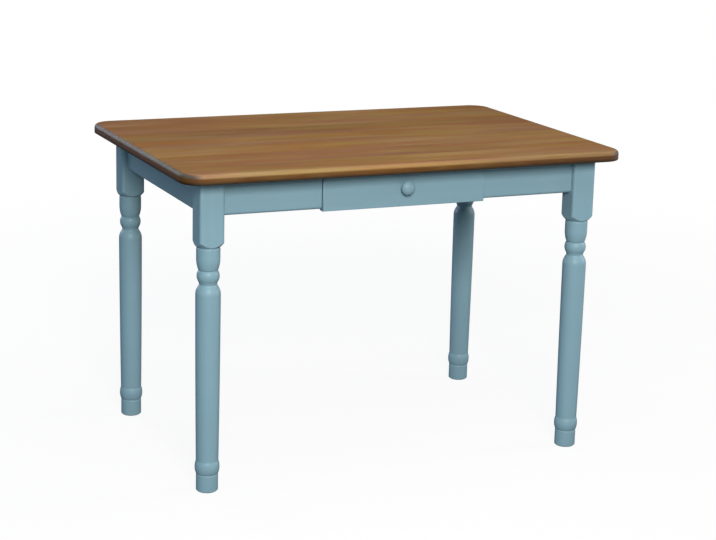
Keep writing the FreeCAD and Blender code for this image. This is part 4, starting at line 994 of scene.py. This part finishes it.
def solids(node):
    """Points of each separate solid of a CAD node, in millimetres. Every point starts with a label
    of its own, and the lowest label spreads along the edges until none changes."""
    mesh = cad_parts[node].data
    points = np.empty(len(mesh.vertices) * 3)
    mesh.vertices.foreach_get("co", points)
    edges = np.empty(len(mesh.edges) * 2, int)
    mesh.edges.foreach_get("vertices", edges)
    points, same = np.unique(np.round(points.reshape(-1, 3) / MM, 4), axis=0, return_inverse=True)
    ends = same.ravel()[edges.reshape(-1, 2)]
    label = np.arange(len(points))
    before = None
    while before is None or (label != before).any():
        before = label.copy()
        np.minimum.at(label, ends, np.broadcast_to(before[ends].min(1)[:, None], ends.shape))
    return [points[label == one] for one in np.unique(label)]


def round_spots(node, flat):
    """Where a node's round solids are: start, axis, a way across and length of each. A rod's axis is
    the way in which its points lie furthest apart, a flat ring's the way in which they lie closest.
    It starts at the end that is wider, or nearer to the middle of the table, and the way across
    goes to a point that lies furthest from the axis, which is a corner on a nut."""
    spots = []
    for points in solids(node):
        middle = (points.min(0) + points.max(0)) / 2
        away = points - middle
        axis = np.linalg.eigh(away.T @ away)[1][:, 0 if flat else 2]
        along = away @ axis
        reach = np.abs(along).max()
        across = away - along[:, None] * axis
        wide = np.linalg.norm(across, axis=1)
        sides = [wide[along * side > reach * 0.9].max() for side in (-1, 1)]
        inward = axis[:2] @ middle[:2] < 0
        if abs(sides[0] - sides[1]) > 0.1:
            inward = sides[1] > sides[0]
        if inward:
            axis = -axis
        spots.append((middle - axis * reach, axis, across[wide.argmax()], 2 * reach))
    return spots


def threaded(radius, depth, pitch, low, high, angle, taper=0.0):
    """Rows of a screw thread: heights, and at each height and angle the radius. With p the part of
    height / pitch less the turn that is left over from whole turns, the radius rises from the core
    by the thread's depth times 1 - |2 p - 1|, sharpened. Over the taper both shrink to the point."""
    rows = np.linspace(low, high, int((high - low) / pitch * 6) + 1)[:, None]
    phase = (rows / pitch - angle / FULL_TURN) % 1
    ridge = np.clip(1.5 * (1 - np.abs(2 * phase - 1)) - 0.3, 0, 1)
    # The ridge grows from nothing over the first turn, so it has no cut end.
    ridge = ridge * np.clip((rows - low) / pitch, 0, 1)
    thin = np.clip((high - rows) / taper, 0.04, 1) if taper else 1.0
    return rows, (radius - depth + depth * ridge) * thin


def cross_screw(length, shank, head, head_height, pitch, columns=32):
    """Wood screw with a round head from height 0 down to its point. The recess is a cross: it is
    deepest in the middle, and its depth fades with the distance from the nearer of two crossed
    lines and towards the cross's end."""
    angle = round_angles(columns)
    inner = np.linspace(0.05, 0.72, 12)[:, None] * head
    beside = inner * np.minimum(np.abs(np.cos(angle)), np.abs(np.sin(angle)))
    across = np.clip((0.17 * head - beside) / (0.07 * head), 0, 1)
    ending = np.clip((0.62 * head - inner) / (0.30 * head), 0, 1)
    dome = 0.16 * head_height
    sunk = dome * (inner / head) ** 2 + 0.75 * head_height * across * ending
    # Rim, side and underside of the head, then the plain part of the shank.
    start = head_height + 0.25 * length
    line = outline((0.74 * head, dome * 0.55), (head, 0.55 * head_height, 0.12 * head, 6),
                   (head, head_height, 0.0, 1), (shank, head_height, 0.0, 1),
                   (shank, start, 0.0, 1))
    rows, radius = threaded(shank, 0.3 * shank, pitch, start + 0.05, length, angle, 2.6 * shank)
    return np.concatenate([skin(inner, sunk, angle), turned(line, columns), skin(radius, rows, angle)])


# Depth and pitch of the bolt's two threads, and the length of its point.
METRIC_DEPTH, METRIC_PITCH = 0.65, 1.25
WOOD_DEPTH, WOOD_PITCH, WOOD_POINT = 1.1, 2.8, 7.0


def hanger_bolt(length, radius, grip, bite, columns=32):
    """Bolt with a metric thread from height 0 to the grip, a plain part through the brace and a wood
    thread over the bite that ends in a point."""
    angle = round_angles(columns)
    end, end_radius = threaded(radius, METRIC_DEPTH, METRIC_PITCH, 0.0, grip, angle)
    # A bevel on the end takes off 0.7 mm of the radius.
    end_radius = np.minimum(end_radius, radius - 0.7 + end)
    collar = np.array([[radius, grip + 0.4], [radius, length - bite]])
    rows, wood = threaded(radius, WOOD_DEPTH, WOOD_PITCH, length - bite + 0.2, length, angle,
                          WOOD_POINT)
    return np.concatenate([skin(end_radius, end, angle), turned(collar, columns),
                           skin(wood, rows, angle)])


def ring_faces(points):
    """Closed skin of a ring: its rows run round the section and meet, as its columns do."""
    rows, columns = points.shape[:2]
    faces = quads(rows + 1, columns) % (rows * columns)
    return points.reshape(-1, 3), faces.tolist()


def washer(outer, hole, height, columns=48):
    """Flat washer: the punch rounds its outer edge on one side and the hole's edge on the other."""
    soft, sharp = 0.35 * height, 0.08 * height
    section = eased(((hole, 0), (outer, 0), (outer, height), (hole, height)),
                    (sharp, soft, sharp, soft))
    return ring_faces(turned(section, columns))


def hexagon_nut(flats, hole, height, columns=72):
    """Hexagon nut with a corner at angle 0. Its outside reaches flats / 2 / cos a from the middle, a
    being the angle from the nearest flat's middle, and a cone of 30 degrees cuts both ends back to
    a circle inside the flats."""
    angle = round_angles(columns)
    fold = np.abs(angle % (math.pi / 3) - math.pi / 6)
    hexagon = flats / 2 / np.cos(fold)
    away = np.array([0.0, 0.25, 0.5, 0.8, 1.1])[:, None]
    cone = 0.475 * flats + away * math.tan(math.radians(60))
    side = np.minimum(hexagon, cone)
    lead = 0.6
    inside = np.array([[hole + lead, 0.0], [hole, lead], [hole, height - lead], [hole + lead, height]])
    radius = np.concatenate([side, side[::-1], np.repeat(inside[::-1, :1], columns, 1)])
    level = np.concatenate([away, height - away[::-1], inside[::-1, 1:]])
    return ring_faces(skin(radius, level, angle))


def nail(length, radius, columns=20):
    """Wire nail: a flat head with a rounded rim, a round shank and a pointed end."""
    line = outline((radius * 0.3, 0.0), (radius, 0.3, 0.08, 3), (radius, 0.7, 0.0, 1),
                   (radius * 0.9, 0.9, 0.0, 1), (radius * 0.9, length - 3.0, 0.0, 2),
                   (radius * 0.08, length, 0.0, 4))
    return turned(line, columns)


def fluted_dowel(length, radius, flutes=20, depth=0.25):
    """Wooden dowel: flutes along its whole length let the glue out, so the radius falls by the
    flute's depth times a sharp power of a wave round the angle, and both ends are bevelled."""
    angle = round_angles(flutes * 8)
    line = outline((radius - 1.0, 0.0), (radius, 1.6, 0.12, 4), (radius, length - 1.6, 0.0, 3),
                   (radius - 1.0, length, 0.12, 4))
    groove = depth * (0.5 + 0.5 * np.cos(flutes * angle)) ** 4
    reach = np.clip(line[:, :1] - groove, 0.1, None)
    return skin(reach, line[:, 1:], angle)


SCREWS = (
    # node, body, radius of the shank and of the head, height of the head, pitch of the thread
    ("brace_screws", "table", 2.0, 3.8, 2.3, 1.8),
    ("runner_screws", "table", 2.0, 3.8, 2.3, 1.8),
    ("button_screws", "table", 2.0, 3.8, 2.3, 1.8),
    ("stop_screws", "table", 2.0, 3.8, 2.3, 1.8),
    ("drawer_bottom_screws", "drawer", 1.5, 3.0, 1.6, 1.4),
    ("knob_screw", "drawer", 2.0, 4.0, 2.6, 1.8),
)
BOLT_RADIUS, BOLT_GRIP, BOLT_BITE = 4.0, 20.0, 40.0


def add_round(node, body, material, shape, flat=False, outer_end=False):
    """Puts a round shape, made to length, where each solid of the node is. From the outer end, it
    starts at the side that faces away from the middle of the table."""
    pieces = []
    for start, axis, across, length in round_spots(node, flat):
        if outer_end:
            start, axis = start + axis * length, -axis
        points, faces = shape(length)
        pieces.append((placed(points, start, axis, across), faces))
    return build(node + "_shaped", together(pieces), body, material, node, "turned")


class TABLE_OT_fasteners(bpy.types.Operator):
    """Add the screws, bolts, nuts, washers, nails and dowels"""

    bl_idname = "kitchen_table.add_fasteners"
    bl_label = "Fasteners"

    def execute(self, context):
        steel = finish("zinc_plated_steel")
        for node, body, shank, head, head_height, pitch in SCREWS:
            add_round(node, body, steel,
                      lambda size: tube(cross_screw(size, shank, head, head_height, pitch)))
        add_round("hanger_bolts", "table", steel,
                  lambda size: tube(hanger_bolt(size, BOLT_RADIUS, BOLT_GRIP, BOLT_BITE)))
        add_round("bolt_washers", "table", steel,
                  lambda size: washer(12.0, BOLT_RADIUS + 0.3, size), flat=True)
        add_round("bolt_nuts", "table", steel,
                  lambda size: hexagon_nut(13.0, BOLT_RADIUS + 0.05, size), flat=True)
        add_round("drawer_front_pins", "drawer", steel,
                  lambda size: tube(nail(size, 1.0)), outer_end=True)
        add_round("guide_dowels", "table", finish("planed_pine", "y"),
                  lambda size: tube(fluted_dowel(size, 4.0)))
        add_round("drawer_dowels", "drawer", finish("planed_pine", "x"),
                  lambda size: tube(fluted_dowel(size, 3.0)))
        return {"FINISHED"}


# ---- add-on ----

STEPS = (TABLE_OT_stage, TABLE_OT_top, TABLE_OT_legs, TABLE_OT_rails, TABLE_OT_inner_frame,
         TABLE_OT_drawer, TABLE_OT_knob, TABLE_OT_fasteners)


class TABLE_PT_panel(bpy.types.Panel):
    """Kitchen table: sizes, colours and pieces"""

    bl_idname = "TABLE_PT_panel"
    bl_label = "Kitchen Table"
    bl_space_type = "VIEW_3D"
    bl_region_type = "UI"
    bl_category = "Table"

    def draw(self, context):
        for group in (context.scene.table_sizes, context.scene.table_colours):
            box = self.layout.box()
            for name in group.__annotations__:
                box.prop(group, name)
        for step in STEPS:
            self.layout.operator(step.bl_idname)


CLASSES = (TableSizes, TableColours, *STEPS, TABLE_PT_panel)


def register():
    for item in CLASSES:
        bpy.utils.register_class(item)
    bpy.types.Scene.table_sizes = PointerProperty(type=TableSizes)
    bpy.types.Scene.table_colours = PointerProperty(type=TableColours)


def unregister():
    del bpy.types.Scene.table_colours
    del bpy.types.Scene.table_sizes
    for item in reversed(CLASSES):
        bpy.utils.unregister_class(item)


def main():
    register()
    bpy.ops.kitchen_table.add_stage()
    bpy.ops.kitchen_table.add_top()
    bpy.ops.kitchen_table.add_legs()
    bpy.ops.kitchen_table.add_rails()
    bpy.ops.kitchen_table.add_inner_frame()
    bpy.ops.kitchen_table.add_drawer()
    bpy.ops.kitchen_table.add_knob()
    bpy.ops.kitchen_table.add_fasteners()


if __name__ == "__main__":
    main()
